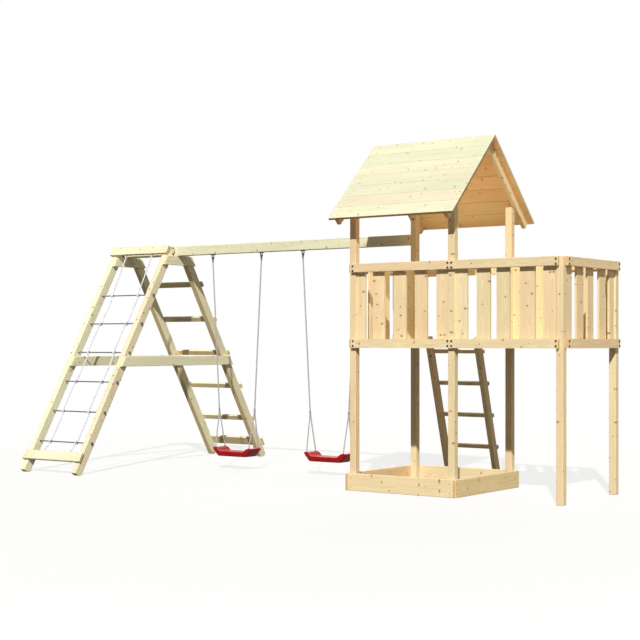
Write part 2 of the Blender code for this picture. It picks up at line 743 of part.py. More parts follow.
def seat(name, axis):
    """A moulded seat: a shell open underneath, with a raised wing at each end that a rope goes through."""
    down = SEAT_Z - HINGE_Z
    upright = Matrix.Rotation(math.pi / 2, 4, "X")
    shell = prism_mesh(name, seat_outline(0.0), SEAT_D)
    shell.transform(Matrix.Translation((0.0, 0.0, down)) @ upright)
    piece = add(name, shell, RED_PLASTIC, axis)
    chamfer(piece, SEAT_EDGE, 2)
    hollow = prism_mesh(name + "_hollow", seat_hollow(), SEAT_D - 2 * SEAT_WALL)
    hollow.transform(Matrix.Translation((0.0, 0.0, down)) @ upright)
    combine(piece, guide(name + "_hollow", hollow, piece), "DIFFERENCE")
    seat_top = SEAT_Z + WING_TOP + LOOP_CLEAR - HINGE_Z
    holes = []
    for sign in (-1, 1):
        split = Vector((sign * SPLIT_X, 0.0, seat_top + SPLIT_UP))
        for rear in (-1, 1):
            hole = Vector((sign * ROPE_HOLE_X, rear * ROPE_HOLE_Y, seat_top))
            slope = (hole - split).normalized()
            radius = ROPE_R + ROPE_CLEAR
            holes.append([(hole - slope * 2 * SEAT_WALL, radius), (hole + slope * 2 * SEAT_WALL, radius)])
    combine(piece, guide(name + "_holes", tube_mesh(name + "_holes", holes), piece), "DIFFERENCE")


def build_swings():
    """Two swings, each turning about the line through its two rings."""
    for index, x in enumerate(SWING_X):
        word = f"swing_{index + 1}"
        axis = empty(word + "_axis", (x, BEAM_Y, HINGE_Z), corner)
        seat(word + "_seat", axis)
        for hand, sign in (("left", -1), ("right", 1)):
            hook(f"{word}_hook_{hand}", x + sign * HOOK_HALF)
            harness(f"{word}_rope_{hand}", sign, axis)


build_posts()
build_railings()
build_decks()
build_sandbox()
build_roof()
build_ladder()
build_legs()
build_frame()
build_net()
build_swings()
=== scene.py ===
"""Looks of a timber play tower with a gable roof, a side platform, a ladder and a double swing.

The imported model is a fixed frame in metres: X runs along the swing beam, -Y is the front and +Z is up.
Timber nodes keep their solids and get procedural pine. Laid ropes and moulded shells take the place of the
net, the swing ropes and the seats, and the fasteners and rope fittings are added.
"""

import math
from itertools import product

import bmesh
import bpy
from mathutils import Matrix, Vector


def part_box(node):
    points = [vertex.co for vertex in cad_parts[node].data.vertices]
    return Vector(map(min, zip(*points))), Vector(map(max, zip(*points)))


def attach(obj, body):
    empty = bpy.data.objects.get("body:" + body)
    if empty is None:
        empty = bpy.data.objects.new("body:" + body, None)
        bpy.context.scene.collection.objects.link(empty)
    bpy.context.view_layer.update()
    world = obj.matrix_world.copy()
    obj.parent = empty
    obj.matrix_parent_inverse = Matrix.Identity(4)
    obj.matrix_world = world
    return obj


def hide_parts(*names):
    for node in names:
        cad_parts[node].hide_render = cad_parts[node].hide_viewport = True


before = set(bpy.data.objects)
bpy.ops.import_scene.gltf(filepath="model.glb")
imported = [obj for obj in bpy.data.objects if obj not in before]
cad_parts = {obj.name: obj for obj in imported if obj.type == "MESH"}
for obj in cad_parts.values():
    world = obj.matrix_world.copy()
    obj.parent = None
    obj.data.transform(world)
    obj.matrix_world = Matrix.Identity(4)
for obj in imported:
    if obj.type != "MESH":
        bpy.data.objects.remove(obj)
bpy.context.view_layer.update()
scene = bpy.context.scene

# Camera
CAMERA_AT = (7.7024, -10.9986, 1.258)
CAMERA_TURN = math.radians(35.8446)
CAMERA_LENS = 80.43
CAMERA_SHIFT_UP = 0.0347

# Tower and platform, from the corner of the front left post
TOWER_X = 0.7895
TOWER_Y = -0.996
TOWER_W = 1.026
TOWER_D = 1.026
TOWER_MIDDLE = (TOWER_X + TOWER_W / 2, TOWER_Y + TOWER_D / 2)
BAY = 0.966
POST = 0.060
RAIL_H = 0.074
RAIL_T = 0.028
LOW_RAIL_Z = 1.210
TOP_RAIL_Z = 1.922
GAP = 0.0003

# Upright boards of the railings, and how far each stands from an even spacing
INFILL_COUNT = 5
INFILL_W = 0.118
NUDGES = {
    "railing_front_tower": (-0.014, -0.0305, -0.020, -0.0085, 0.001),
    "railing_front_platform": (-0.0025, 0.004, -0.015, 0.0015, 0.0015),
    "railing_side_platform": (-0.001, 0.0095, 0.004, 0.028, 0.0135),
}

# Floors, from the underside of their boards
JOIST_PITCH = 0.438
DECK_UNDER = LOW_RAIL_Z + 0.043
DECK_T = 0.019
DECK_INNER = POST + GAP
DECK_GAP = 0.006
DECK_BOARDS = 9
DECK_BOARD_W = (TOWER_D - 2 * DECK_INNER - (DECK_BOARDS - 1) * DECK_GAP) / DECK_BOARDS
DECK_PITCH = DECK_BOARD_W + DECK_GAP

# Roof
ROOF_PITCH = math.radians(44.5)
ROOF_LEAN = math.pi / 2 - ROOF_PITCH
ROOF_RUN = 0.700
ROOF_LENGTH = ROOF_RUN / math.cos(ROOF_PITCH)
ROOF_BOARDS = 7

# Ladder, which touches the rear rail at a height
LADDER_LEAN = math.radians(16.33)
LADDER_TOUCH_Z = 1.281
LADDER_PITCH = 0.3013
LADDER_STEP_UP = 0.297
LADDER_RUNGS = 4
LADDER_RUNG_T = 0.028
STRINGER_D = 0.073
STRINGER_PITCH = 0.500

# Climbing frame
BEAM_HALF = 0.045
BEAM_UNDER = 2.138
LEG_LEAN = math.radians(30.96)
LEG_D = 0.088
LEG_W = 0.060
LEG_TOP = 2.231
LEG_SHOULDER = 0.086
LEG_LENGTH = LEG_TOP / math.cos(LEG_LEAN)
FRAME_SPAN = 2.821
FRAME_PITCH = 0.696
FRAME_RIGHT = TOWER_X - FRAME_SPAN - LEG_W
FRAME_LEFT = FRAME_RIGHT - FRAME_PITCH
FRAME_MIDDLE = (FRAME_LEFT + FRAME_RIGHT + LEG_W) / 2
BOARD_H = 0.095
FOOT_BOARD_UP = 0.140

X_AXIS = Vector((1.0, 0.0, 0.0))
Y_AXIS = Vector((0.0, 1.0, 0.0))
Z_AXIS = Vector((0.0, 0.0, 1.0))
AXES = (X_AXIS, Y_AXIS, Z_AXIS)
WHITE = (1.0, 1.0, 1.0, 1.0)
CENTRE = (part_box("railing_front_tower")[0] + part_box("railing_rear_platform")[1]) / 2
NUMBERS = {name: index + 1 for index, name in enumerate(sorted(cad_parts))}


def nodes(*starts):
    """Names of the nodes that start so."""
    return [name for name in NUMBERS if name.startswith(starts)]


def leaning(side, lean):
    """The ways up and out of a face that leans in from the front (-1) or from the rear (1)."""
    up = Vector((0.0, -side * math.sin(lean), math.cos(lean)))
    out = Vector((0.0, side * math.cos(lean), math.sin(lean)))
    return up, out


def side_of(name, centre=CENTRE):
    """A rail's box, the axis it runs along, the axis through it, and which way along that is outwards."""
    low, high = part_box(name)
    run = 0 if (high - low).x > (high - low).y else 1
    through = 1 - run
    outwards = 1 if (low[through] + high[through]) / 2 > centre[through] else -1
    return low, high, run, through, outwards


def on_face(side, at, z, inner=False):
    """A place on a rail's outer face, or on its inner one, and the way that the face looks."""
    low, high, run, through, outwards = side
    way = -outwards if inner else outwards
    place = Vector((0.0, 0.0, z))
    place[run] = at
    place[through] = high[through] if way > 0 else low[through]
    return place, way * AXES[through]


def set_camera():
    """The photograph's viewpoint: level, at a child's shoulder height, off the platform's front corner."""
    data = bpy.data.cameras.new("camera")
    data.lens = CAMERA_LENS
    data.shift_y = CAMERA_SHIFT_UP
    camera = bpy.data.objects.new("camera", data)
    camera.location = CAMERA_AT
    camera.rotation_euler = (math.pi / 2, 0.0, CAMERA_TURN)
    scene.collection.objects.link(camera)
    scene.camera = camera


class Nodes:
    """A node tree, built up by small steps."""

    def __init__(self, tree):
        self.tree = tree

    def put(self, socket, value):
        """Join a socket to another, or give it a plain value."""
        if isinstance(value, bpy.types.NodeSocket):
            self.tree.links.new(value, socket)
        else:
            socket.default_value = value

    def node(self, kind, inputs=(), **settings):
        """One node with its settings and inputs."""
        made = self.tree.nodes.new(kind)
        for key, value in settings.items():
            setattr(made, key, value)
        for key, value in dict(inputs).items():
            self.put(made.inputs[key], value)
        return made

    def math(self, operation, a, b=0.0, c=0.0):
        return self.node("ShaderNodeMath", {0: a, 1: b, 2: c}, operation=operation).outputs[0]

    def times(self, a, b):
        return self.math("MULTIPLY", a, b)

    def plus(self, a, b):
        return self.math("ADD", a, b)

    def minus(self, a, b):
        return self.math("SUBTRACT", a, b)

    def fit(self, value, scale, start):
        """A value times a scale, added to a start."""
        return self.math("MULTIPLY_ADD", value, scale, start)

    def vector(self, operation, a, b=(0.0, 0.0, 0.0), output=0):
        return self.node("ShaderNodeVectorMath", {0: a, 1: b}, operation=operation).outputs[output]

    def dot(self, a, b):
        return self.vector("DOT_PRODUCT", a, b, "Value")

    def join(self, x, y, z):
        return self.node("ShaderNodeCombineXYZ", {0: x, 1: y, 2: z}).outputs[0]

    def split(self, vector):
        return self.node("ShaderNodeSeparateXYZ", {0: vector}).outputs

    def stretch(self, value, low, high, to_low=0.0, to_high=1.0, smooth=False):
        """Map one range to another, kept within it."""
        kind = "SMOOTHSTEP" if smooth else "LINEAR"
        inputs = {"Value": value, "From Min": low, "From Max": high, "To Min": to_low, "To Max": to_high}
        return self.node("ShaderNodeMapRange", inputs, interpolation_type=kind).outputs["Result"]

    def noise(self, vector, scale, detail=2.0, roughness=0.5):
        inputs = {"Vector": vector, "Scale": scale, "Detail": detail, "Roughness": roughness}
        return self.node("ShaderNodeTexNoise", inputs).outputs["Fac"]

    def mix(self, factor, a, b, kind="RGBA", blend="MIX"):
        """Mix two colours, numbers or vectors."""
        a, b = ((*value, 1.0) if isinstance(value, tuple) else value for value in (a, b))
        inputs = {"Factor": factor, "A": a, "B": b}
        return self.node("ShaderNodeMix", inputs, data_type=kind, blend_type=blend).outputs["Result"]

    def tint(self, share, colour, by):
        """Multiply a colour by another, where share is 1."""
        return self.mix(share, colour, by, blend="MULTIPLY")


class Look(Nodes):
    """One material and its shader."""

    def __init__(self, name):
        self.material = bpy.data.materials.new(name)
        self.material.use_nodes = True
        super().__init__(self.material.node_tree)
        self.shader = self.tree.nodes["Principled BSDF"]

    def coordinate(self, kind="Object"):
        return self.node("ShaderNodeTexCoord").outputs[kind]

    def shade(self, inputs):
        """Set the shader's inputs, each to a socket or a plain number."""
        for key, value in inputs.items():
            self.put(self.shader.inputs[key], value)

    def bump(self, height, distance, strength):
        made = self.node("ShaderNodeBump", {"Height": height, "Distance": distance, "Strength": strength})
        self.shade({"Normal": made.outputs[0]})


class Lay:
    """How one board lies: its middle, the way its grain runs, and a repeat across if there are several."""

    def __init__(self, middle, along, across, start=None, pitch=None):
        self.middle = Vector(middle)
        self.along = Vector(along).normalized()
        self.across = Vector(across).normalized()
        self.start = start
        self.pitch = pitch

    def turn(self):
        through = self.along.cross(self.across)
        return Matrix((self.along, self.across, through)).transposed().to_euler()


def pine(early, late, ring=0.0042, contrast=0.75, knots=1.0):
    """A kind of pine: its early and late wood, a ring's width, and how plainly rings and knots show."""
    return {"early": early, "late": late, "ring": ring, "contrast": contrast, "knots": knots}


PINE = pine((0.86, 0.715, 0.48), (0.76, 0.575, 0.335))
PALE_PINE = pine((0.83, 0.80, 0.620), (0.76, 0.68, 0.45), 0.0045, 0.60)
GOLD_PINE = pine((0.80, 0.69, 0.44), (0.74, 0.57, 0.32), contrast=0.60)
WARM_PINE = pine((0.875, 0.69, 0.415), (0.77, 0.55, 0.29))
ROOF_WOOD = pine((0.740, 0.745, 0.600), (0.715, 0.685, 0.47), 0.0050, 0.50, 0.62)
# Painted warm bounce light on the roof boards' downward faces
PAINTED_BOUNCE_UNDER_ROOF = (1.20, 0.84, 0.56)
# Painted shade on the climbing frame's downward faces
PAINTED_SHADE_UNDER_PALE = (0.84, 0.73, 0.55)
# Painted shade on the front roof slope's ends and eave edge
PAINTED_SHADE_ROOF_RIM = (0.55, 0.46, 0.38)
END_GRAIN = (0.80, 0.70, 0.58)
TINT_WARM = (1.0, 0.93, 0.86)
TINT_COOL = (0.96, 1.0, 0.93)

# The pith: how far aside and how much deeper it may lie, and how wood wanders along the grain
PITH_ASIDE = 0.07
PITH_DEEPER = 0.03
PITH_REACH = 0.065
OTHER_LAY = 507
GRAIN_SLIDE = 37.0
WANDER = 0.030
WANDER_SCALE = (1.7, 5.0)
FIBRE_SCALE = (9.0, 340.0)
PATCH_SCALE = (1.6, 16.0)
RING_RISE = (0.25, 0.86)
RING_FALL = (0.93, 1.0)
RING_STRENGTH = (0.45, 1.0)

# Knots: cells that may hold one, their share and sizes, and the edges of knot, bark and swirl
KNOT_RIM = (0.20, 0.105, 0.045)
KNOT_HEART = (0.46, 0.27, 0.13)
KNOT_HALO = (0.62, 0.36, 0.15)
KNOT_CELLS = 11.0
KNOT_SIZES = (0.0022, 0.0072)
KNOT_SHARE = 0.60
KNOT_RAGGED = 0.34
KNOT_FINE = 110.0
KNOT_NONE = 10.0
KNOT_EDGES = ((1.12, 0.95), (0.35, 0.95), (3.0, 1.0))
HALO_SHARE = 0.30
SWERVE = 0.007

# Finish of the wood
FIBRE_LEVEL = 0.05
PATCH_LEVEL = (0.91, 1.05)
BOARD_LEVEL = (0.10, 0.95)
WOOD_ROUGH = (0.58, 0.70)
END_ROUGHER = 0.12
KNOT_SMOOTHER = 0.14
WOOD_BUMP = (0.0005, 0.55)
WOOD_SPECULAR = 0.28


def lay_of(look, place, lay, number):
    """Coordinates along, across and through the board, and a number of its own for each board."""
    inputs = {"Vector": place, "Location": lay.middle, "Rotation": lay.turn()}
    vector = look.node("ShaderNodeMapping", inputs, vector_type="TEXTURE").outputs[0]
    if lay.pitch is None:
        return vector, float(number)
    x, y, z = look.split(vector)
    index = look.math("FLOOR", look.math("DIVIDE", look.minus(y, lay.start), lay.pitch))
    centre = look.fit(look.plus(index, 0.5), lay.pitch, lay.start)
    return look.join(x, look.minus(y, centre), z), look.plus(index, float(number))


def drawn_out(look, x, y, z, along, across):
    """Coordinates for a noise that is drawn out along the grain."""
    return look.join(look.times(x, along), look.times(y, across), look.times(z, across))


def knots_of(look, vector, x, round_pith):
    """Whether a place is in a knot, how near it is to the knot's bark, and the swirl of grain around it."""
    cells = {"Vector": look.join(x, round_pith, 0.0), "Scale": KNOT_CELLS}
    spots = look.node("ShaderNodeTexVoronoi", cells, voronoi_dimensions="2D").outputs
    share = look.split(spots["Color"])[0]
    small, large = (size * KNOT_CELLS for size in KNOT_SIZES)
    size = look.stretch(share, 1.0 - KNOT_SHARE, 1.0, small, large)
    near = look.math("DIVIDE", spots["Distance"], size)
    ragged = look.fit(look.noise(vector, KNOT_FINE, 1.0), KNOT_RAGGED, -KNOT_RAGGED / 2)
    near = look.plus(near, ragged)
    near = look.fit(look.math("LESS_THAN", share, 1.0 - KNOT_SHARE), KNOT_NONE, near)
    return [look.stretch(near, *edge, smooth=True) for edge in KNOT_EDGES]


def wood(name, number, lays, tone, side=None, heart=0.05, under=None, rim=False):
    """Pine with growth rings round a pith, fibres, knots and darker end grain.

    A second lay holds where side, a plane given by a point and a normal, has the surface in front of it.
    A tint given as under is painted light on faces that look down: painted shade under the climbing frame,
    painted warm bounce light under the roof. With rim, painted shade darkens the ends and the lowest edge.
    """
    look = Look(name)
    place = look.coordinate()
    vector, seed = lay_of(look, place, lays[0], 10 * number)
    along = look.join(*lays[0].along)
    if side:
        point, normal = side
        height = look.dot(look.vector("SUBTRACT", place, Vector(point)), Vector(normal))
        beyond = look.math("GREATER_THAN", height, 0.0)
        other, other_seed = lay_of(look, place, lays[1], 10 * number + OTHER_LAY)
        vector = look.mix(beyond, vector, other, "VECTOR")
        seed = look.mix(beyond, seed, other_seed, "FLOAT")
        along = look.mix(beyond, along, look.join(*lays[1].along), "VECTOR")
    chance = look.node("ShaderNodeTexWhiteNoise", {"W": seed}, noise_dimensions="1D").outputs["Color"]
    chance_x, chance_y, chance_z = look.split(chance)

    x, y, z = look.split(vector)
    x = look.fit(chance_x, GRAIN_SLIDE, x)
    away_y = look.minus(y, look.fit(chance_y, PITH_ASIDE, -PITH_ASIDE / 2))
    away_z = look.plus(z, look.fit(chance_z, PITH_DEEPER, heart))
    reach = look.math("SQRT", look.plus(look.times(away_y, away_y), look.times(away_z, away_z)))
    round_pith = look.times(look.math("ARCTAN2", away_z, away_y), PITH_REACH)
    knot, bark, halo = knots_of(look, vector, x, round_pith)

    slow = drawn_out(look, x, y, z, *WANDER_SCALE)
    wander = look.noise(slow, 1.0, 2.0)
    depth = look.plus(look.fit(wander, WANDER, reach), look.times(halo, SWERVE))
    ring = look.math("FRACT", look.math("DIVIDE", depth, tone["ring"]))
    late = look.times(look.stretch(ring, *RING_RISE, smooth=True), look.stretch(ring, *RING_FALL, 1.0, 0.0))
    strength = look.stretch(look.noise(slow, 2.3, 1.0), 0.3, 0.7, *RING_STRENGTH)
    fibre = look.noise(drawn_out(look, x, y, z, *FIBRE_SCALE), 1.0, 2.0, 0.6)
    patch = look.noise(drawn_out(look, x, y, z, *PATCH_SCALE), 1.0, 3.0, 0.55)

    colour = look.mix(look.times(look.times(late, strength), tone["contrast"]), tone["early"], tone["late"])
    colour = look.tint(1.0, colour, look.mix(chance_x, TINT_COOL, TINT_WARM))
    fibres = look.stretch(fibre, 0.2, 0.8, -FIBRE_LEVEL, FIBRE_LEVEL)
    level = look.plus(fibres, look.stretch(patch, 0.25, 0.75, *PATCH_LEVEL))
    level = look.times(level, look.fit(chance_z, *BOARD_LEVEL))
    colour = look.tint(1.0, colour, look.join(level, level, level))
    plain = tone["knots"]
    colour = look.mix(look.times(halo, HALO_SHARE * plain), colour, KNOT_HALO)
    colour = look.mix(look.times(knot, plain), colour, look.mix(bark, KNOT_HEART, KNOT_RIM))

    normal = look.coordinate("Normal")
    facing = look.math("ABSOLUTE", look.dot(normal, along))
    end = look.stretch(facing, 0.80, 0.95)
    colour = look.tint(end, colour, END_GRAIN)
    if under:
        # Painted light on faces that look down
        colour = look.tint(look.stretch(look.split(normal)[2], -0.3, -0.5), colour, under)
    if rim:
        # Painted shade on the ends and on the lowest edge
        eave = look.stretch(look.dot(normal, look.join(*lays[0].across)), -0.90, -0.98)
        colour = look.tint(look.math("MAXIMUM", end, eave), colour, PAINTED_SHADE_ROOF_RIM)
    rough = look.plus(look.stretch(fibre, 0.2, 0.8, *WOOD_ROUGH), look.times(end, END_ROUGHER))
    rough = look.minus(rough, look.times(knot, KNOT_SMOOTHER))
    look.shade({"Base Color": colour, "Roughness": rough, "Specular IOR Level": WOOD_SPECULAR})
    grain = look.plus(look.times(fibre, 0.55), look.times(late, 0.45))
    look.bump(look.minus(grain, look.times(knot, 0.5)), *WOOD_BUMP)
    return look.material


def dress(node, material):
    """Give a carried node its material."""
    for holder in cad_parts[node].material_slots:
        holder.material = material


def tone_of(name):
    """The roof is greener, the climbing frame and beam paler, and some boards are warmer or golden."""
    if name.startswith("roof"):
        return ROOF_WOOD
    if name.startswith(("climb", "swing_beam")):
        return PALE_PINE
    if name in ("sandbox_board_left", "sandbox_board_right"):
        return WARM_PINE
    return GOLD_PINE if name.endswith(("_rear_platform", "_rear_tower")) else PINE


def dress_wood(node, *lays, **looks):
    """Give a carried node a pine of its own."""
    dress(node, wood(node + "_wood", NUMBERS[node], lays, tone_of(node), **looks))


def board_lay(node):
    """The lay of a straight board from its box: the grain runs the longest way."""
    low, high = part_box(node)
    size = high - low
    order = sorted(range(3), key=lambda axis: -size[axis])
    return Lay((low + high) / 2, AXES[order[0]], AXES[order[1]])


# How deep the pith lies in squared timber
POST_HEART = 0.022
LEG_HEART = 0.030
RAFTER_HEART = 0.035


def dress_straight():
    """Posts, rails, sandbox boards, beam and bars, each a single straight board."""
    for name in nodes("tower_post", "platform_post", "swing_beam"):
        dress_wood(name, board_lay(name), heart=POST_HEART)
    for name in nodes("top_rail", "low_rail", "sandbox_board", "climb_collar", "climb_mid_bar"):
        dress_wood(name, board_lay(name))


def dress_leaning():
    """Legs, net boards, rungs and rafters, whose grain follows the slope or crosses it."""
    for name in nodes("climb_leg", "climb_top", "climb_foot", "climb_rung", "rafter"):
        low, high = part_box(name)
        middle = (low + high) / 2
        if name.startswith("rafter"):
            up_slope = leaning(-1 if "front" in name else 1, ROOF_LEAN)[0]
            dress_wood(name, Lay(middle, up_slope, X_AXIS.cross(up_slope)), heart=RAFTER_HEART)
            continue
        up_leg = leaning(1 if middle.y > 0 else -1, LEG_LEAN)[0]
        if name.startswith("climb_leg"):
            lay = Lay(middle, up_leg, X_AXIS.cross(up_leg))
            # Faces that look down get painted shade
            dress_wood(name, lay, heart=LEG_HEART, under=PAINTED_SHADE_UNDER_PALE)
        else:
            dress_wood(name, Lay(middle, X_AXIS, up_leg), under=PAINTED_SHADE_UNDER_PALE)


def board_middles(name):
    """Middles of a railing's upright boards along its run, and their pitch."""
    low, high, run, _, _ = side_of(name)
    pitch = (high[run] - low[run] - POST - INFILL_W) / (INFILL_COUNT - 1)
    first = low[run] + (POST + INFILL_W) / 2
    nudges = NUDGES.get(name, (0.0,) * INFILL_COUNT)
    return [first + index * pitch + nudge for index, nudge in enumerate(nudges)], pitch


def dress_railings():
    """Each low rail with its upright boards: the rail stands outside the posts' face, the boards inside."""
    for name in nodes("railing"):
        low, high, run, through, outwards = side_of(name)
        middle = (low + high) / 2
        face = high[through] - RAIL_T if outwards > 0 else low[through] + RAIL_T
        pitch = board_middles(name)[1]
        rail = Lay((middle.x, middle.y, low.z + RAIL_H / 2), AXES[run], Z_AXIS)
        boards = Lay(middle, Z_AXIS, AXES[run], start=-INFILL_COUNT * pitch / 2, pitch=pitch)
        plane = (AXES[through] * face, AXES[through] * -outwards)
        dress_wood(name, rail, boards, side=plane)


def dress_decks():
    """Floor boards along X over joists along Y."""
    for name in ("deck_tower", "deck_platform"):
        low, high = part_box(name)
        middle = (low + high) / 2
        joists = Lay(middle, Y_AXIS, X_AXIS, start=-1.5 * JOIST_PITCH, pitch=JOIST_PITCH)
        start = TOWER_Y + DECK_INNER - DECK_GAP / 2 - middle.y
        boards = Lay(middle, X_AXIS, Y_AXIS, start=start, pitch=DECK_PITCH)
        dress_wood(name, joists, boards, side=((0, 0, DECK_UNDER), Z_AXIS))


def roof_slope(side):
    """The foot of a roof slope at its eave, without its place along X, and its ways up and out."""
    up_slope, outwards = leaning(side, ROOF_LEAN)
    ridge = Vector((0.0, TOWER_MIDDLE[1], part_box("roof_front")[1].z))
    return ridge - up_slope * ROOF_LENGTH, up_slope, outwards


def dress_roof():
    """Boards along X, one above the other up each slope."""
    for name, side in (("roof_front", -1), ("roof_rear", 1)):
        low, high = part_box(name)
        eave, up_slope, _ = roof_slope(side)
        eave.x = (low.x + high.x) / 2
        lay = Lay(eave, X_AXIS, up_slope, start=0.0, pitch=ROOF_LENGTH / ROOF_BOARDS)
        # Painted warm bounce light under both slopes, and painted shade on the front slope's ends and eave
        # edge
        dress_wood(name, lay, under=PAINTED_BOUNCE_UNDER_ROOF, rim=side < 0)


def ladder_foot(x):
    """Where the front of the ladder's stringers meets the ground."""
    rail_face = TOWER_Y + TOWER_D + 2 * GAP + RAIL_T
    return Vector((x, rail_face + LADDER_TOUCH_Z * math.tan(LADDER_LEAN), 0.0))


def dress_ladder():
    """Stringers up the slope, and rungs across them."""
    low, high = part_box("access_ladder")
    up, out = leaning(1, LADDER_LEAN)
    foot = ladder_foot((low.x + high.x) / 2)
    stringers = Lay(foot + out * STRINGER_D / 2, up, X_AXIS, start=-STRINGER_PITCH, pitch=STRINGER_PITCH)
    middle = foot + out * (STRINGER_D + LADDER_RUNG_T / 2)
    rungs = Lay(middle, X_AXIS, up, start=LADDER_STEP_UP - 0.15, pitch=LADDER_PITCH)
    dress_wood("access_ladder", stringers, rungs, side=(foot + out * (STRINGER_D + 0.0002), out))


def red_plastic():
    """Moulded plastic: a fine orange-peel skin, slight mottling and scuffs."""
    look = Look("seat_plastic")
    place = look.coordinate()
    cloud = look.noise(place, 14.0, 3.0)
    peel = look.noise(place, 700.0, 2.0)
    scuff = look.stretch(look.noise(place, 45.0, 4.0, 0.7), 0.55, 0.75)
    colour = look.mix(look.stretch(cloud, 0.3, 0.7), (0.30, 0.007, 0.006), (0.38, 0.012, 0.010))
    colour = look.mix(look.times(scuff, 0.14), colour, (0.42, 0.06, 0.05))
    rough = look.stretch(cloud, 0.2, 0.8, 0.36, 0.48)
    look.shade({"Base Color": colour, "Roughness": rough, "Specular IOR Level": 0.10})
    look.bump(look.plus(peel, look.times(scuff, 0.4)), 0.0002, 0.5)
    return look.material


def steel(name, dark, light, rough, metallic=0.85):
    """Coated steel with light wear."""
    look = Look(name)
    place = look.coordinate()
    cloud = look.noise(place, 120.0, 4.0, 0.65)
    colour = look.mix(look.stretch(cloud, 0.35, 0.72), dark, light)
    worn = look.stretch(cloud, 0.2, 0.8, rough - 0.08, rough + 0.12)
    look.shade({"Base Color": colour, "Roughness": worn, "Metallic": metallic})
    look.bump(look.noise(place, 900.0, 2.0), 0.0001, 0.6)
    return look.material


def rope_look(name, light, dark):
    """Laid rope: fine fibres, and patches of dirt."""
    look = Look(name)
    place = look.coordinate()
    fibre = look.noise(place, 1100.0, 3.0, 0.6)
    cloud = look.noise(place, 30.0, 3.0)
    share = look.times(look.stretch(fibre, 0.25, 0.75), look.stretch(cloud, 0.2, 0.8, 0.35, 0.9))
    rough = look.stretch(fibre, 0.2, 0.8, 0.78, 0.92)
    look.shade({"Base Color": look.mix(share, light, dark), "Roughness": rough})
    look.shade({"Sheen Weight": 0.25, "Sheen Roughness": 0.5})
    look.bump(fibre, 0.0006, 0.7)
    return look.material


PLASTIC_RED = red_plastic()
HOOK_STEEL = steel("hook_steel", (0.055, 0.055, 0.062), (0.16, 0.16, 0.17), 0.42)
BOLT_STEEL = steel("bolt_steel", (0.030, 0.022, 0.016), (0.085, 0.066, 0.050), 0.58, 0.35)
SCREW_STEEL = steel("screw_steel", (0.30, 0.235, 0.14), (0.46, 0.37, 0.23), 0.45, 0.6)
ROPE_WHITE = rope_look("rope_white", (0.76, 0.77, 0.86), (0.50, 0.50, 0.59))
# Dark rope colour: painted shade on the net's cross ropes, also used on the swing ropes' eyes
ROPE_DARK = rope_look("rope_dark", (0.145, 0.15, 0.16), (0.060, 0.062, 0.070))
ROPE_GREY = rope_look("rope_grey", (0.48, 0.49, 0.51), (0.20, 0.205, 0.22))
THREAD_GREY = rope_look("thread_grey", (0.38, 0.38, 0.40), (0.16, 0.16, 0.175))

# Angles up to which faces shade as one surface
SMOOTH = 40.0
HEAD_SMOOTH = 35.0
SEAT_SMOOTH = 60.0
ROPE_SMOOTH = 80.0


def mesh_from(name, bm, smooth):
    """Close off a mesh and shade it."""
    bmesh.ops.recalc_face_normals(bm, faces=bm.faces[:])
    mesh = bpy.data.meshes.new(name)
    bm.to_mesh(mesh)
    bm.free()
    mesh.shade_smooth()
    mesh.set_sharp_from_angle(angle=math.radians(smooth))
    return mesh


def link(name, mesh, material, body):
    """A finished mesh as a piece on a body."""
    piece = bpy.data.objects.new(name, mesh)
    mesh.materials.append(material)
    scene.collection.objects.link(piece)
    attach(piece, body)
    return piece


def link_form(name, bm, material, body, smooth=SMOOTH):
    """A mesh that is still being built, as a piece on a body."""
    return link(name, mesh_from(name, bm, smooth), material, body)


def bridge(bm, rings):
    """Join each ring of points to the next. A ring of one point is a tip."""
    sides = max(len(ring) for ring in rings)
    for lower, upper in zip(rings, rings[1:]):
        for index in range(sides):
            after = (index + 1) % sides
            corners = ((lower, index), (lower, after), (upper, after), (upper, index))
            bm.faces.new(tuple(dict.fromkeys(ring[at % len(ring)] for ring, at in corners)))


def lathe(bm, place, normal, profile, sides, spin=0.0):
    """Turn a profile of radius and height round an axis, from tip to tip."""
    turn = Vector(normal).normalized().to_track_quat("Z", "Y").to_matrix()
    rings = []
    for radius, height in profile:
        ring = []
        for index in range(sides if radius > 0.0 else 1):
            angle = 2 * math.pi * index / sides + spin
            local = Vector((radius * math.cos(angle), radius * math.sin(angle), height))
            ring.append(bm.verts.new(Vector(place) + turn @ local))
        rings.append(ring)
    bridge(bm, rings)


def closed_tube(bm, rings):
    """Join rings of points into a tube with closed ends."""
    bridge(bm, rings)
    bm.faces.new(rings[0][::-1])
    bm.faces.new(rings[-1])


# Sections of turned fittings, as pairs of radius and height
BOLT_PROFILE = [
    (0.0, -0.0015), (0.0095, -0.0015), (0.0095, 0.0012), (0.0088, 0.0020), (0.0060, 0.0024),
    (0.0058, 0.0052), (0.0050, 0.0064), (0.0030, 0.0066), (0.0026, 0.0040), (0.0, 0.0040),
]
SCREW_PROFILE = [
    (0.0, -0.001), (0.0042, -0.001), (0.0042, 0.0004), (0.0036, 0.0010), (0.0016, 0.0011),
    (0.0012, 0.0003), (0.0, 0.0003),
]
HOOK_SCREW_PROFILE = [
    (0.0, -0.0015), (0.0060, -0.001), (0.0060, 0.0012), (0.0045, 0.0030), (0.0022, 0.0032),
    (0.0018, 0.0014), (0.0, 0.0014),
]
COLLAR_PROFILE = [
    (0.0, -0.002), (0.0125, -0.002), (0.0128, 0.0012), (0.0112, 0.0034), (0.0086, 0.0034),
    (0.0068, 0.0008), (0.0, 0.0008),
]

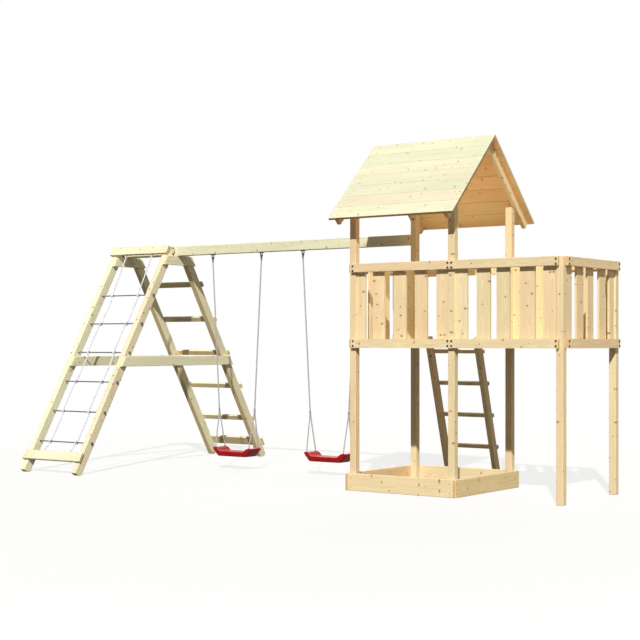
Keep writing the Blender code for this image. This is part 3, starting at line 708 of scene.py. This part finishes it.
# Where the fasteners sit: in from an end, and either side of a middle or at a height
RAIL_BOLT_IN = 0.018
RAIL_BOLTS = (-0.0195, 0.0195)
TOP_BOLT_DROP = 0.004
BEAM_BOLTS = (-0.030, 0.030)
BEAM_BOLTS_Z = 2.185
BEAM_BOLTS_Y = (-BEAM_HALF - 0.035, BEAM_HALF + 0.035)
CROSS_FACE = 0.01415
BOARD_SCREWS = (-0.022, 0.022)
RUNG_SCREWS = (-0.012, 0.012)
BAR_SCREWS = (-0.020, 0.020)
INFILL_SCREWS = (-0.034, 0.034)
INFILL_SCREWS_Z = (LOW_RAIL_Z + 0.045, TOP_RAIL_Z - 0.040)
DECK_SCREW_IN = 0.014
DECK_SCREWS = (-0.028, 0.028)
RAFTER_MIDDLE = 0.0173
ROOF_SCREW_SHARES = (0.25, 0.75)
LADDER_SCREW_IN = 0.023
LADDER_SCREWS = (-0.008, 0.008)
SANDBOX_SCREW_IN = (0.030, 0.014)
SANDBOX_SCREWS_Z = (0.036, 0.110)
HOOK_SCREWS = (-0.019, 0.019)
HEAD_TURN = 0.7


def heads(name, places, profile, sides, material):
    """Many fastener heads in one piece, each at a place and facing a way."""
    bm = bmesh.new()
    for index, (place, normal) in enumerate(places):
        lathe(bm, place, normal, profile, sides, spin=HEAD_TURN * index)
    link_form(name, bm, material, "frame", HEAD_SMOOTH)


def rail_bolts():
    """Two bolts at each end of every rail, into the posts."""
    for name in nodes("top_rail", "railing", "low_rail"):
        side = side_of(name)
        low, high, run = side[:3]
        middle = low.z + RAIL_H / 2 - (TOP_BOLT_DROP if name.startswith("top_rail") else 0.0)
        for at, step in product((low[run] + RAIL_BOLT_IN, high[run] - RAIL_BOLT_IN), RAIL_BOLTS):
            yield on_face(side, at, middle + step)


def climb_screws():
    """Screws that hold the boards and rungs on the legs, and the collars and bars beside them."""
    for name in nodes("climb_top", "climb_foot", "climb_rung", "climb_collar", "climb_mid"):
        low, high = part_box(name)
        middle = (low + high) / 2
        if name.startswith(("climb_collar", "climb_mid")):
            half = BEAM_HALF + LEG_SHOULDER + (LEG_TOP - middle.z) * math.tan(LEG_LEAN)
            half -= LEG_D / 2 / math.cos(LEG_LEAN)
            for side, step in product((-1, 1), BAR_SCREWS):
                y = side * (half - step * math.tan(LEG_LEAN))
                yield Vector((high.x, y, middle.z + step)), X_AXIS
            continue
        up_leg, outwards = leaning(1 if middle.y > 0 else -1, LEG_LEAN)
        for x, step in product((FRAME_LEFT, FRAME_RIGHT), RUNG_SCREWS if "rung" in name else BOARD_SCREWS):
            place = Vector((x + LEG_W / 2, middle.y, middle.z)) + outwards * CROSS_FACE + up_leg * step
            yield place, outwards


def beam_bolts():
    """Bolts through the leg heads, either side of the beam."""
    for x, step, y in product((FRAME_LEFT, FRAME_RIGHT), BEAM_BOLTS, BEAM_BOLTS_Y):
        yield Vector((x + LEG_W, y, BEAM_BOLTS_Z + step)), X_AXIS


def board_screws():
    """Countersunk screws in the upright boards and the floors."""
    for name in nodes("railing"):
        side = side_of(name)
        for middle, step, z in product(board_middles(name)[0], INFILL_SCREWS, INFILL_SCREWS_Z):
            yield on_face(side, middle + step, z, inner=True)
    for left, right in ((POST, BAY), (TOWER_W, 2 * BAY)):
        joists = (left + DECK_SCREW_IN, (left + right) / 2, right - DECK_SCREW_IN)
        for x, index, step in product(joists, range(DECK_BOARDS), DECK_SCREWS):
            middle = TOWER_Y + DECK_INNER + index * DECK_PITCH + DECK_BOARD_W / 2
            yield Vector((TOWER_X + x, middle + step, DECK_UNDER + DECK_T)), Z_AXIS


def roof_screws():
    """Two screws in each roof board over each rafter."""
    board = ROOF_LENGTH / ROOF_BOARDS
    rafters = (TOWER_X - RAFTER_MIDDLE, TOWER_X + TOWER_W + RAFTER_MIDDLE)
    for side in (-1, 1):
        eave, up_slope, outwards = roof_slope(side)
        for x, index, share in product(rafters, range(ROOF_BOARDS), ROOF_SCREW_SHARES):
            yield eave + up_slope * board * (index + share) + X_AXIS * x, outwards


def ladder_and_sandbox_screws():
    """Screws in the ladder's rungs and in the sandbox's corners."""
    low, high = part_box("access_ladder")
    up, out = leaning(1, LADDER_LEAN)
    sides = (low.x + LADDER_SCREW_IN, high.x - LADDER_SCREW_IN)
    for index, x, step in product(range(LADDER_RUNGS), sides, LADDER_SCREWS):
        rise = up * (LADDER_STEP_UP + index * LADDER_PITCH + step)
        place = ladder_foot(0.0) + rise + out * (STRINGER_D + LADDER_RUNG_T)
        yield place + X_AXIS * x, out
    for name in nodes("sandbox_board"):
        side = side_of(name, TOWER_MIDDLE)
        low, high, run = side[:3]
        inset = SANDBOX_SCREW_IN[run]
        for at, z in product((low[run] + inset, high[run] - inset), SANDBOX_SCREWS_Z):
            yield on_face(side, at, z)


# Laid rope: its strands, and how far they stand out from its core
STRANDS = 3
STRAND_ROOT = 0.80
STRAND_BULGE = 0.22
STRAND_POWER = 0.8
ROPE_SIDES = 12


def evenly(route, step):
    """Points at even distances along a route."""
    lengths = [0.0]
    for before, after in zip(route, route[1:]):
        lengths.append(lengths[-1] + (after - before).length)
    count = max(2, round(lengths[-1] / step))
    points = []
    leg = 0
    for index in range(count + 1):
        target = lengths[-1] * index / count
        while leg < len(route) - 2 and lengths[leg + 1] < target:
            leg += 1
        share = (target - lengths[leg]) / max(lengths[leg + 1] - lengths[leg], 1e-9)
        points.append(route[leg].lerp(route[leg + 1], min(max(share, 0.0), 1.0)))
    return points


def rounded(route):
    """Soften the corners of a route."""
    softer = [route[0]]
    for before, after in zip(route, route[1:]):
        softer += [before.lerp(after, 0.25), before.lerp(after, 0.75)]
    return softer + [route[-1]]


def laid_rope(bm, route, radius, step=0.006, lay=0.040):
    """A rope of three strands along a route: its section has three rounds that turn as it goes."""
    points = evenly(route, step)
    ahead = (points[1] - points[0]).normalized()
    flank = ahead.orthogonal().normalized()
    rings = []
    travelled = 0.0
    for index, point in enumerate(points):
        before = points[max(index - 1, 0)]
        after = points[min(index + 1, len(points) - 1)]
        turned_to = (after - before).normalized()
        flank = (ahead.rotation_difference(turned_to) @ flank).normalized()
        ahead = turned_to
        other = ahead.cross(flank)
        twist = 2 * math.pi * travelled / lay
        ring = []
        for corner in range(ROPE_SIDES):
            angle = 2 * math.pi * corner / ROPE_SIDES
            round_of = abs(math.cos(STRANDS / 2 * (angle - twist)))
            reach = radius * (STRAND_ROOT + STRAND_BULGE * round_of ** STRAND_POWER)
            ring.append(bm.verts.new(point + reach * (math.cos(angle) * flank + math.sin(angle) * other)))
        rings.append(ring)
        if index < len(points) - 1:
            travelled += (points[index + 1] - point).length
    closed_tube(bm, rings)


def coil(centre, axis, toward, radius, turns, travel, start=0.0, count=14):
    """Points of a coil round an axis, moving along it."""
    axis = axis.normalized()
    side = axis.cross(toward).normalized()
    points = []
    steps = round(count * turns)
    for index in range(steps + 1):
        share = index / steps
        angle = start + 2 * math.pi * turns * share
        offset = radius * (math.cos(angle) * toward + math.sin(angle) * side)
        points.append(centre + offset + axis * travel * (share - 0.5))
    return points


# Net: rows up the slope of the front legs, and the long ropes that are hitched round each
NET_ROWS = 6
NET_STEP_UP = 0.3692
NET_PITCH = 0.3352
NET_HALF = 0.178
NET_R = 0.0068
NET_TAIL = 0.020
NET_POINTS = 0.03
CROSS_ROPE_R = 0.0062
NET_KNOT_COIL = 0.015 - NET_R
NET_KNOT_ROPE_R = 0.0060
NET_KNOT_OUT = 0.0095
NET_KNOT_TURNS = 1.6
NET_KNOT_TRAVEL = 0.008
NET_KNOT_TUCK = 0.004
HITCH_R = 2 * NET_R - 0.0004
HITCH_TURNS = 1.5
HITCH_TRAVEL = 2.9 * NET_R
HITCH_LEAD = 0.03


def net_place(x, deep, up):
    """A place in the net: deep behind the front legs' outer faces, up the slope from the ground line."""
    up_leg, outwards = leaning(-1, LEG_LEAN)
    foot_half = BEAM_HALF + LEG_SHOULDER + LEG_TOP * math.tan(LEG_LEAN)
    return Vector((x, -foot_half, 0.0)) + up_leg * up - outwards * deep


def net_run(x, start, stop):
    """A straight length of a long rope, up the front legs' slope."""
    return evenly([net_place(x, NET_R, start), net_place(x, NET_R, stop)], NET_POINTS)


def build_net():
    """Cross ropes through both front legs, dark with painted shade, and two pale ropes hitched round each of
    them.
    """
    up_leg, outwards = leaning(-1, LEG_LEAN)
    rows = bmesh.new()
    for index in range(NET_ROWS):
        up = NET_STEP_UP + index * NET_PITCH
        left = net_place(FRAME_LEFT - GAP, LEG_D / 2, up)
        right = net_place(FRAME_RIGHT + LEG_W + GAP, LEG_D / 2, up)
        laid_rope(rows, [left, right], CROSS_ROPE_R)
        for end, way in ((left, -X_AXIS), (right, X_AXIS)):
            ring_at = end + way * NET_KNOT_OUT
            turns = coil(ring_at, way, -outwards, NET_KNOT_COIL, NET_KNOT_TURNS, NET_KNOT_TRAVEL, index)
            route = [end - way * NET_KNOT_TUCK, end + way * 0.001, *turns, turns[-1] + way * NET_KNOT_TUCK]
            laid_rope(rows, route, NET_KNOT_ROPE_R, 0.004)
    cross = link_form("net_cross_ropes", rows, ROPE_DARK, "frame", ROPE_SMOOTH)
    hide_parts("climb_net")

    long_ropes = bmesh.new()
    for sign in (-1, 1):
        x = FRAME_MIDDLE + sign * NET_HALF
        route = net_run(x, FOOT_BOARD_UP + NET_TAIL, FOOT_BOARD_UP + BOARD_H)
        for index in range(NET_ROWS):
            centre = net_place(x, LEG_D / 2, NET_STEP_UP + index * NET_PITCH)
            way = -X_AXIS if index % 2 else X_AXIS
            wraps = coil(centre, way, -up_leg, HITCH_R, HITCH_TURNS, HITCH_TRAVEL)
            route += [wraps[0] - up_leg * HITCH_LEAD, *wraps, wraps[-1] + up_leg * HITCH_LEAD]
        route += net_run(x, LEG_LENGTH - BOARD_H, LEG_LENGTH - NET_TAIL)
        laid_rope(long_ropes, route, NET_R, 0.005)
    link_form("net_long_ropes", long_ropes, ROPE_WHITE, "frame", ROPE_SMOOTH)


# Moulded seats: a shell whose ends rise to wings and slant in at their foot
SEAT_HALF_L = 0.2445
SEAT_HALF_D = 0.0945
SEAT_FOOT = 0.130
SEAT_DIP = 0.050
SEAT_WING = 0.086
SEAT_DISH = 0.004
SEAT_WALL = 0.005
WING_FROM = 0.152
WING_RISE = 0.048
END_SLANT = 0.062
SLANT_FROM = 0.100
SEAT_TUCK = 0.010
SEAT_EDGE = 0.0075
CORNER_IN_X = 0.045
CORNER_IN_Y = 0.060
CORNER_POWER = 10
SEAT_CELLS = (34, 12)
SEAT_STEPS = (0.0, 0.0010, 0.0026, 0.0048, 0.0078)
SKIRT_STEPS = (0.12, 0.32, 0.56, 0.80, 1.0)
ROPE_HOLE_X = 0.212
ROPE_HOLE_Y = 0.074

# Swing ropes, from the hook's ring by the fork to the holes
SWINGS = ((1, -1.2585), (2, -0.1345))
HINGE_Z = 2.1007
HOOK_HALF = 0.309
HOOK_PLATE_T = 0.005
RING_WIRE = 0.004
ROPE_CLEAR = 0.0005
SEAT_TOP = SEAT_FOOT + SEAT_WING + ROPE_CLEAR
SPLIT_UP = 0.369
SPLIT_X = 0.224
SWING_R = 0.0060
RUN_R = SWING_R * 1.15
TAIL_R = SWING_R * 1.04
EYE_R = SWING_R * 0.92
EYE_HALF = 0.0125
EYE_LENGTH = 0.026
EYE_CLEAR = 0.0008
EYE_STEPS = 12
EYE_NECK = ((0.0035, -0.012), (0.005, 0.0))
EYE_LAP = 0.006
FORK_LAP = 0.010
FORK_ASIDE = 0.0045
FORK_DOWN = (0.004, 0.045)
STOP_R = 0.009
STOP_DOWN = 0.0075
STOP_COIL = 0.0040
STOP_TURNS = 1.7
STOP_ROPE_R = 0.0048
WHIPPING_R = 0.0088
EYE_WHIPPING = (0.018, 0.020)
FORK_WHIPPING = (0.020, 0.026)
THREAD = 0.0010
THIMBLE_STEPS = 24
THIMBLE_TURN = 1.3
THIMBLE_SECTION = (
    (-0.0045, 0.0020), (-0.0040, 0.0), (0.0040, 0.0), (0.0045, 0.0020),
    (0.0045, 0.0008), (0.0036, -0.0012), (-0.0036, -0.0012), (-0.0045, 0.0008),
)


def whipping(bm, low, way, length):
    """Thread wound round a rope, a ridge for each turn."""
    groove, ridge = WHIPPING_R - THREAD, WHIPPING_R
    turns = round(length / (2 * THREAD))
    profile = [(0.0, 0.0)]
    for index in range(turns):
        start = 2 * THREAD * index
        profile += [(groove, start), (ridge, start + 0.6 * THREAD), (ridge, start + 1.4 * THREAD)]
    end = 2 * THREAD * turns
    lathe(bm, low, way, [*profile, (groove, end), (0.0, end)], 14)


def thimble(bm, middle, inner):
    """A thin rounded channel that lines the eye of the rope."""
    rings = []
    for index in range(THIMBLE_STEPS + 1):
        angle = math.pi * (index / THIMBLE_STEPS * THIMBLE_TURN - (THIMBLE_TURN - 1.0) / 2)
        point = middle + inner * Vector((0.0, math.cos(angle), math.sin(angle)))
        out = (point - middle).normalized()
        rings.append([bm.verts.new(point + out * r + X_AXIS * x) for x, r in THIMBLE_SECTION])
    closed_tube(bm, rings)


def swing_rope(number, axis_x, hand, sign):
    """One side of a swing: an eye in the ring, a long run, and two tails through the seat to their knots."""
    body = f"swing_{number}"
    node = f"{body}_rope_{hand}"
    hook = Vector((axis_x + sign * HOOK_HALF, 0.0, HINGE_Z))
    split = Vector((axis_x + sign * SPLIT_X, 0.0, SEAT_TOP + SPLIT_UP))
    ring_top = hook + Z_AXIS * (RING_WIRE + EYE_CLEAR + SWING_R)
    eye_foot = hook - Z_AXIS * EYE_LENGTH
    bend = []
    for index in range(EYE_STEPS + 1):
        angle = math.pi * index / EYE_STEPS
        bend.append(ring_top + EYE_HALF * Vector((0.0, math.cos(angle), math.sin(angle) - 1.0)))
    rise = [eye_foot + Vector((0.0, y, z)) for y, z in EYE_NECK]
    fall = [eye_foot + Vector((0.0, -y, z)) for y, z in reversed(EYE_NECK)]
    bm = bmesh.new()
    laid_rope(bm, rounded(rise + bend + fall), EYE_R, 0.004, 0.034)
    link_form(f"{node}_eye", bm, ROPE_DARK, body, ROPE_SMOOTH)

    bm = bmesh.new()
    run_way = (split - eye_foot).normalized()
    laid_rope(bm, [eye_foot - Z_AXIS * EYE_LAP, split + run_way * FORK_LAP], RUN_R)
    for rear in (-1, 1):
        hole = Vector((axis_x + sign * ROPE_HOLE_X, rear * ROPE_HOLE_Y, SEAT_TOP))
        down = (hole - split).normalized()
        tilt = math.sqrt(1.0 - down.z ** 2)
        knot = hole - down * (ROPE_CLEAR + SEAT_WALL + GAP + STOP_R * tilt) / down.z
        start = split + down * FORK_DOWN[0] + Vector((0.0, rear * FORK_ASIDE, 0.0))
        laid_rope(bm, [start, split + down * FORK_DOWN[1], knot], TAIL_R, 0.006, 0.036)
        toward = down.orthogonal().normalized()
        ball = coil(knot + down * STOP_DOWN, down, toward, STOP_COIL, STOP_TURNS, 0.006, count=10)
        laid_rope(bm, [knot - down * 0.001, *ball, ball[-1] + down * 0.006], STOP_ROPE_R, 0.0035, 0.030)
    piece = link_form(f"{node}_laid", bm, ROPE_GREY, body, ROPE_SMOOTH)
    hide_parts(node)

    bm = bmesh.new()
    whipping(bm, eye_foot - Z_AXIS * EYE_WHIPPING[0], Z_AXIS, EYE_WHIPPING[1])
    whipping(bm, split - run_way * FORK_WHIPPING[0], run_way, FORK_WHIPPING[1])
    link_form(f"{node}_whipping", bm, THREAD_GREY, body)

    bm = bmesh.new()
    thimble(bm, ring_top - EYE_HALF * Z_AXIS, EYE_HALF - SWING_R + EYE_CLEAR)
    link_form(f"{node}_thimble", bm, HOOK_STEEL, body)


def ease(share):
    """0 to 1 with a soft start and end."""
    share = min(max(share, 0.0), 1.0)
    return share * share * (3.0 - 2.0 * share)


def seat_top(x, y):
    """Height of the seat's upper skin: a dished middle between two raised wings, with rounded rims."""
    wing = ease((abs(x) - WING_FROM) / WING_RISE)
    height = SEAT_DIP + (SEAT_WING - SEAT_DIP) * wing
    height -= SEAT_DISH * (1.0 - wing) * (1.0 - (y / SEAT_HALF_D) ** 2)
    edge = min(SEAT_HALF_L - abs(x), SEAT_HALF_D - abs(y))
    over = max(SEAT_EDGE - edge, 0.0)
    return height - (SEAT_EDGE - math.sqrt(max(SEAT_EDGE ** 2 - over ** 2, 0.0)))


def seat_stations(half, count):
    """Places from one side to the other, close together near the rims."""
    inner = half - SEAT_STEPS[-1]
    middle = [inner * (2 * index / count - 1) for index in range(1, count)]
    return [-half + step for step in SEAT_STEPS] + middle + [half - step for step in reversed(SEAT_STEPS)]


def seat_skin(axis_x):
    """The seat's outer skin: over the top, and down a skirt that slants in at the ends."""
    bm = bmesh.new()
    xs, ys = seat_stations(SEAT_HALF_L, SEAT_CELLS[0]), seat_stations(SEAT_HALF_D, SEAT_CELLS[1])
    grid = []
    for x in xs:
        row = []
        for y in ys:
            in_x = 1.0 - CORNER_IN_X * (abs(y) / SEAT_HALF_D) ** CORNER_POWER
            in_y = 1.0 - CORNER_IN_Y * (abs(x) / SEAT_HALF_L) ** CORNER_POWER
            row.append(bm.verts.new((axis_x + x * in_x, y * in_y, SEAT_FOOT + seat_top(x, y))))
        grid.append(row)
    for left, right in zip(grid, grid[1:]):
        for index in range(len(ys) - 1):
            bm.faces.new((left[index], right[index], right[index + 1], left[index + 1]))
    rim = grid[0] + [row[-1] for row in grid[1:]] + grid[-1][-2::-1] + [row[0] for row in grid[-2:0:-1]]
    rings = [rim]
    for step in SKIRT_STEPS:
        ring = []
        for vertex in rim:
            x, y, z = vertex.co.x - axis_x, vertex.co.y, vertex.co.z
            slant = END_SLANT * step ** 1.15 * ease((abs(x) - SLANT_FROM) / (SEAT_HALF_L - SLANT_FROM))
            tuck = SEAT_TUCK * step ** 1.3 * (abs(y) / SEAT_HALF_D)
            new_x = vertex.co.x - math.copysign(slant, x)
            ring.append(bm.verts.new((new_x, y - math.copysign(tuck, y), z + (SEAT_FOOT - z) * step)))
        rings.append(ring)
    bridge(bm, rings)
    return bm


def moulded_seat(number, axis_x):
    """A moulded shell, which is a skin given thickness, and the collars round its holes."""
    body = f"swing_{number}"
    shell = bpy.data.objects.new("seat_form", mesh_from("seat_form", seat_skin(axis_x), SEAT_SMOOTH))
    scene.collection.objects.link(shell)
    wall = shell.modifiers.new("wall", "SOLIDIFY")
    wall.thickness = SEAT_WALL - 0.0005
    wall.offset = -1.0
    shell.modifiers.new("soft", "SUBSURF").levels = 1
    mesh = bpy.data.meshes.new_from_object(shell.evaluated_get(bpy.context.evaluated_depsgraph_get()))
    bpy.data.objects.remove(shell)
    mesh.name = f"{body}_seat_moulded"
    piece = link(mesh.name, mesh, PLASTIC_RED, body)
    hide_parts(f"{body}_seat")

    bm = bmesh.new()
    for sign, rear in product((-1, 1), (-1, 1)):
        place = (axis_x + sign * ROPE_HOLE_X, rear * ROPE_HOLE_Y, SEAT_FOOT + SEAT_WING)
        lathe(bm, place, Z_AXIS, COLLAR_PROFILE, 24)
    link_form(f"{body}_seat_collars", bm, PLASTIC_RED, body, HEAD_SMOOTH)


def hook_screws():
    """Two screws up through each hook plate."""
    for (_, axis_x), sign, step in product(SWINGS, (-1, 1), HOOK_SCREWS):
        yield Vector((axis_x + sign * HOOK_HALF + step, 0.0, BEAM_UNDER - GAP - HOOK_PLATE_T)), -Z_AXIS


def dress_hooks():
    """The hooks keep their solids."""
    for name in nodes("swing_1_hook", "swing_2_hook"):
        dress(name, HOOK_STEEL)


# Floor, which fades to white between two distances from the middle
FLOOR_HALF = 60.0
FLOOR_DROP = 0.0005
FLOOR_FADE = (4.0, 9.0)
FLOOR_WHITE = 0.80
FLOOR_SEEN = (0.86, 0.86, 0.85)
FLOOR_LIT = (0.14, 0.136, 0.126)

# Sun lamps: the way they shine, strength, angle and colour
LAMPS = {
    "key": ((-0.375, 0.66, -0.594), 4.15, 1.0, (1.0, 0.975, 0.93)),
    "fill_right": ((-0.90, 0.12, -0.25), 0.50, 50.0, (1.0, 0.88, 0.73)),
    "fill_rear": ((0.30, -0.80, -0.45), 1.10, 40.0, (1.0, 0.97, 0.93)),
}
SKY_STRENGTH = 0.09
SKY_COLOUR = (1.0, 0.94, 0.82, 1.0)
GLOW_POWER = 2.9
GLOW_SPREAD = math.radians(100)
GLOW_COLOUR = (1.0, 0.86, 0.66)
GLOW_SIZE = 0.80
GLOW_OVER_DECK = 0.10


def seen_rays(tree):
    """1 where a ray shows the background: straight to the camera, or in metal and glass."""
    rays = tree.node("ShaderNodeLightPath").outputs
    mirrored = tree.math("MAXIMUM", rays["Is Glossy Ray"], rays["Is Transmission Ray"])
    return tree.math("MAXIMUM", rays["Is Camera Ray"], mirrored)


def floor_look():
    """Pale floor that keeps the shadow and fades into the white background."""
    look = Look("floor")
    seen = seen_rays(look)
    colour = look.mix(seen, FLOOR_LIT, FLOOR_SEEN)
    look.shade({"Base Color": colour, "Roughness": 0.9, "Specular IOR Level": 0.1})
    away = look.vector("LENGTH", look.coordinate(), output="Value")
    fade = look.stretch(away, *FLOOR_FADE, FLOOR_WHITE, 1.0, smooth=True)
    glow = look.node("ShaderNodeEmission", {"Color": WHITE, "Strength": 1.0}).outputs[0]
    inputs = {0: look.times(seen, fade), 1: look.shader.outputs[0], 2: glow}
    mixed = look.node("ShaderNodeMixShader", inputs).outputs[0]
    look.put(look.tree.nodes["Material Output"].inputs["Surface"], mixed)
    return look.material


def build_floor():
    """A flat floor just under the object's feet."""
    bm = bmesh.new()
    bmesh.ops.create_grid(bm, x_segments=1, y_segments=1, size=FLOOR_HALF)
    mesh = bpy.data.meshes.new("floor")
    bm.to_mesh(mesh)
    bm.free()
    mesh.materials.append(floor_look())
    floor = bpy.data.objects.new("floor", mesh)
    floor.location.z = -FLOOR_DROP
    scene.collection.objects.link(floor)


def add_lamp(name, kind, strength, colour, turn):
    """A lamp at the origin."""
    data = bpy.data.lights.new(name, kind)
    data.energy = strength
    data.color = colour
    lamp = bpy.data.objects.new(name, data)
    lamp.rotation_euler = turn
    scene.collection.objects.link(lamp)
    return lamp


def build_lights():
    """A warm key from the front right, two wide fills, and the glow of the sunlit deck under the roof."""
    for name, (way, strength, spread, colour) in LAMPS.items():
        lamp = add_lamp(name, "SUN", strength, colour, Vector(way).to_track_quat("-Z", "Y").to_euler())
        lamp.data.angle = math.radians(spread)
    lamp = add_lamp("deck_glow", "AREA", GLOW_POWER, GLOW_COLOUR, (math.pi, 0.0, 0.0))
    lamp.data.size = GLOW_SIZE
    lamp.data.spread = GLOW_SPREAD
    lamp.location = (*TOWER_MIDDLE, DECK_UNDER + GLOW_OVER_DECK)
    lamp.visible_camera = False


def build_sky():
    """Even light from all round, which the camera, metal and glass see as white."""
    world = bpy.data.worlds.new("sky")
    scene.world = world
    world.use_nodes = True
    sky = Nodes(world.node_tree)
    sky.tree.nodes.clear()
    even, white = [
        sky.node("ShaderNodeBackground", {"Color": colour, "Strength": strength}).outputs[0]
        for colour, strength in ((SKY_COLOUR, SKY_STRENGTH), (WHITE, 1.0))
    ]
    mixed = sky.node("ShaderNodeMixShader", {0: seen_rays(sky), 1: even, 2: white}).outputs[0]
    sky.node("ShaderNodeOutputWorld", {"Surface": mixed})


set_camera()
dress_straight()
dress_leaning()
dress_railings()
dress_decks()
dress_roof()
dress_ladder()
dress_hooks()
heads("rail_bolts", rail_bolts(), BOLT_PROFILE, 12, BOLT_STEEL)
heads("climb_screws", climb_screws(), SCREW_PROFILE, 8, SCREW_STEEL)
heads("beam_bolts", beam_bolts(), BOLT_PROFILE, 12, BOLT_STEEL)
heads("board_screws", board_screws(), SCREW_PROFILE, 8, SCREW_STEEL)
heads("roof_screws", roof_screws(), SCREW_PROFILE, 8, SCREW_STEEL)
heads("ladder_and_sandbox_screws", ladder_and_sandbox_screws(), SCREW_PROFILE, 8, BOLT_STEEL)
build_net()
for swing in SWINGS:
    swing_rope(*swing, "left", -1)
    swing_rope(*swing, "right", 1)
    moulded_seat(*swing)
heads("hook_screws", hook_screws(), HOOK_SCREW_PROFILE, 10, HOOK_STEEL)
build_floor()
build_lights()
build_sky()
scene.view_settings.view_transform = "Standard"
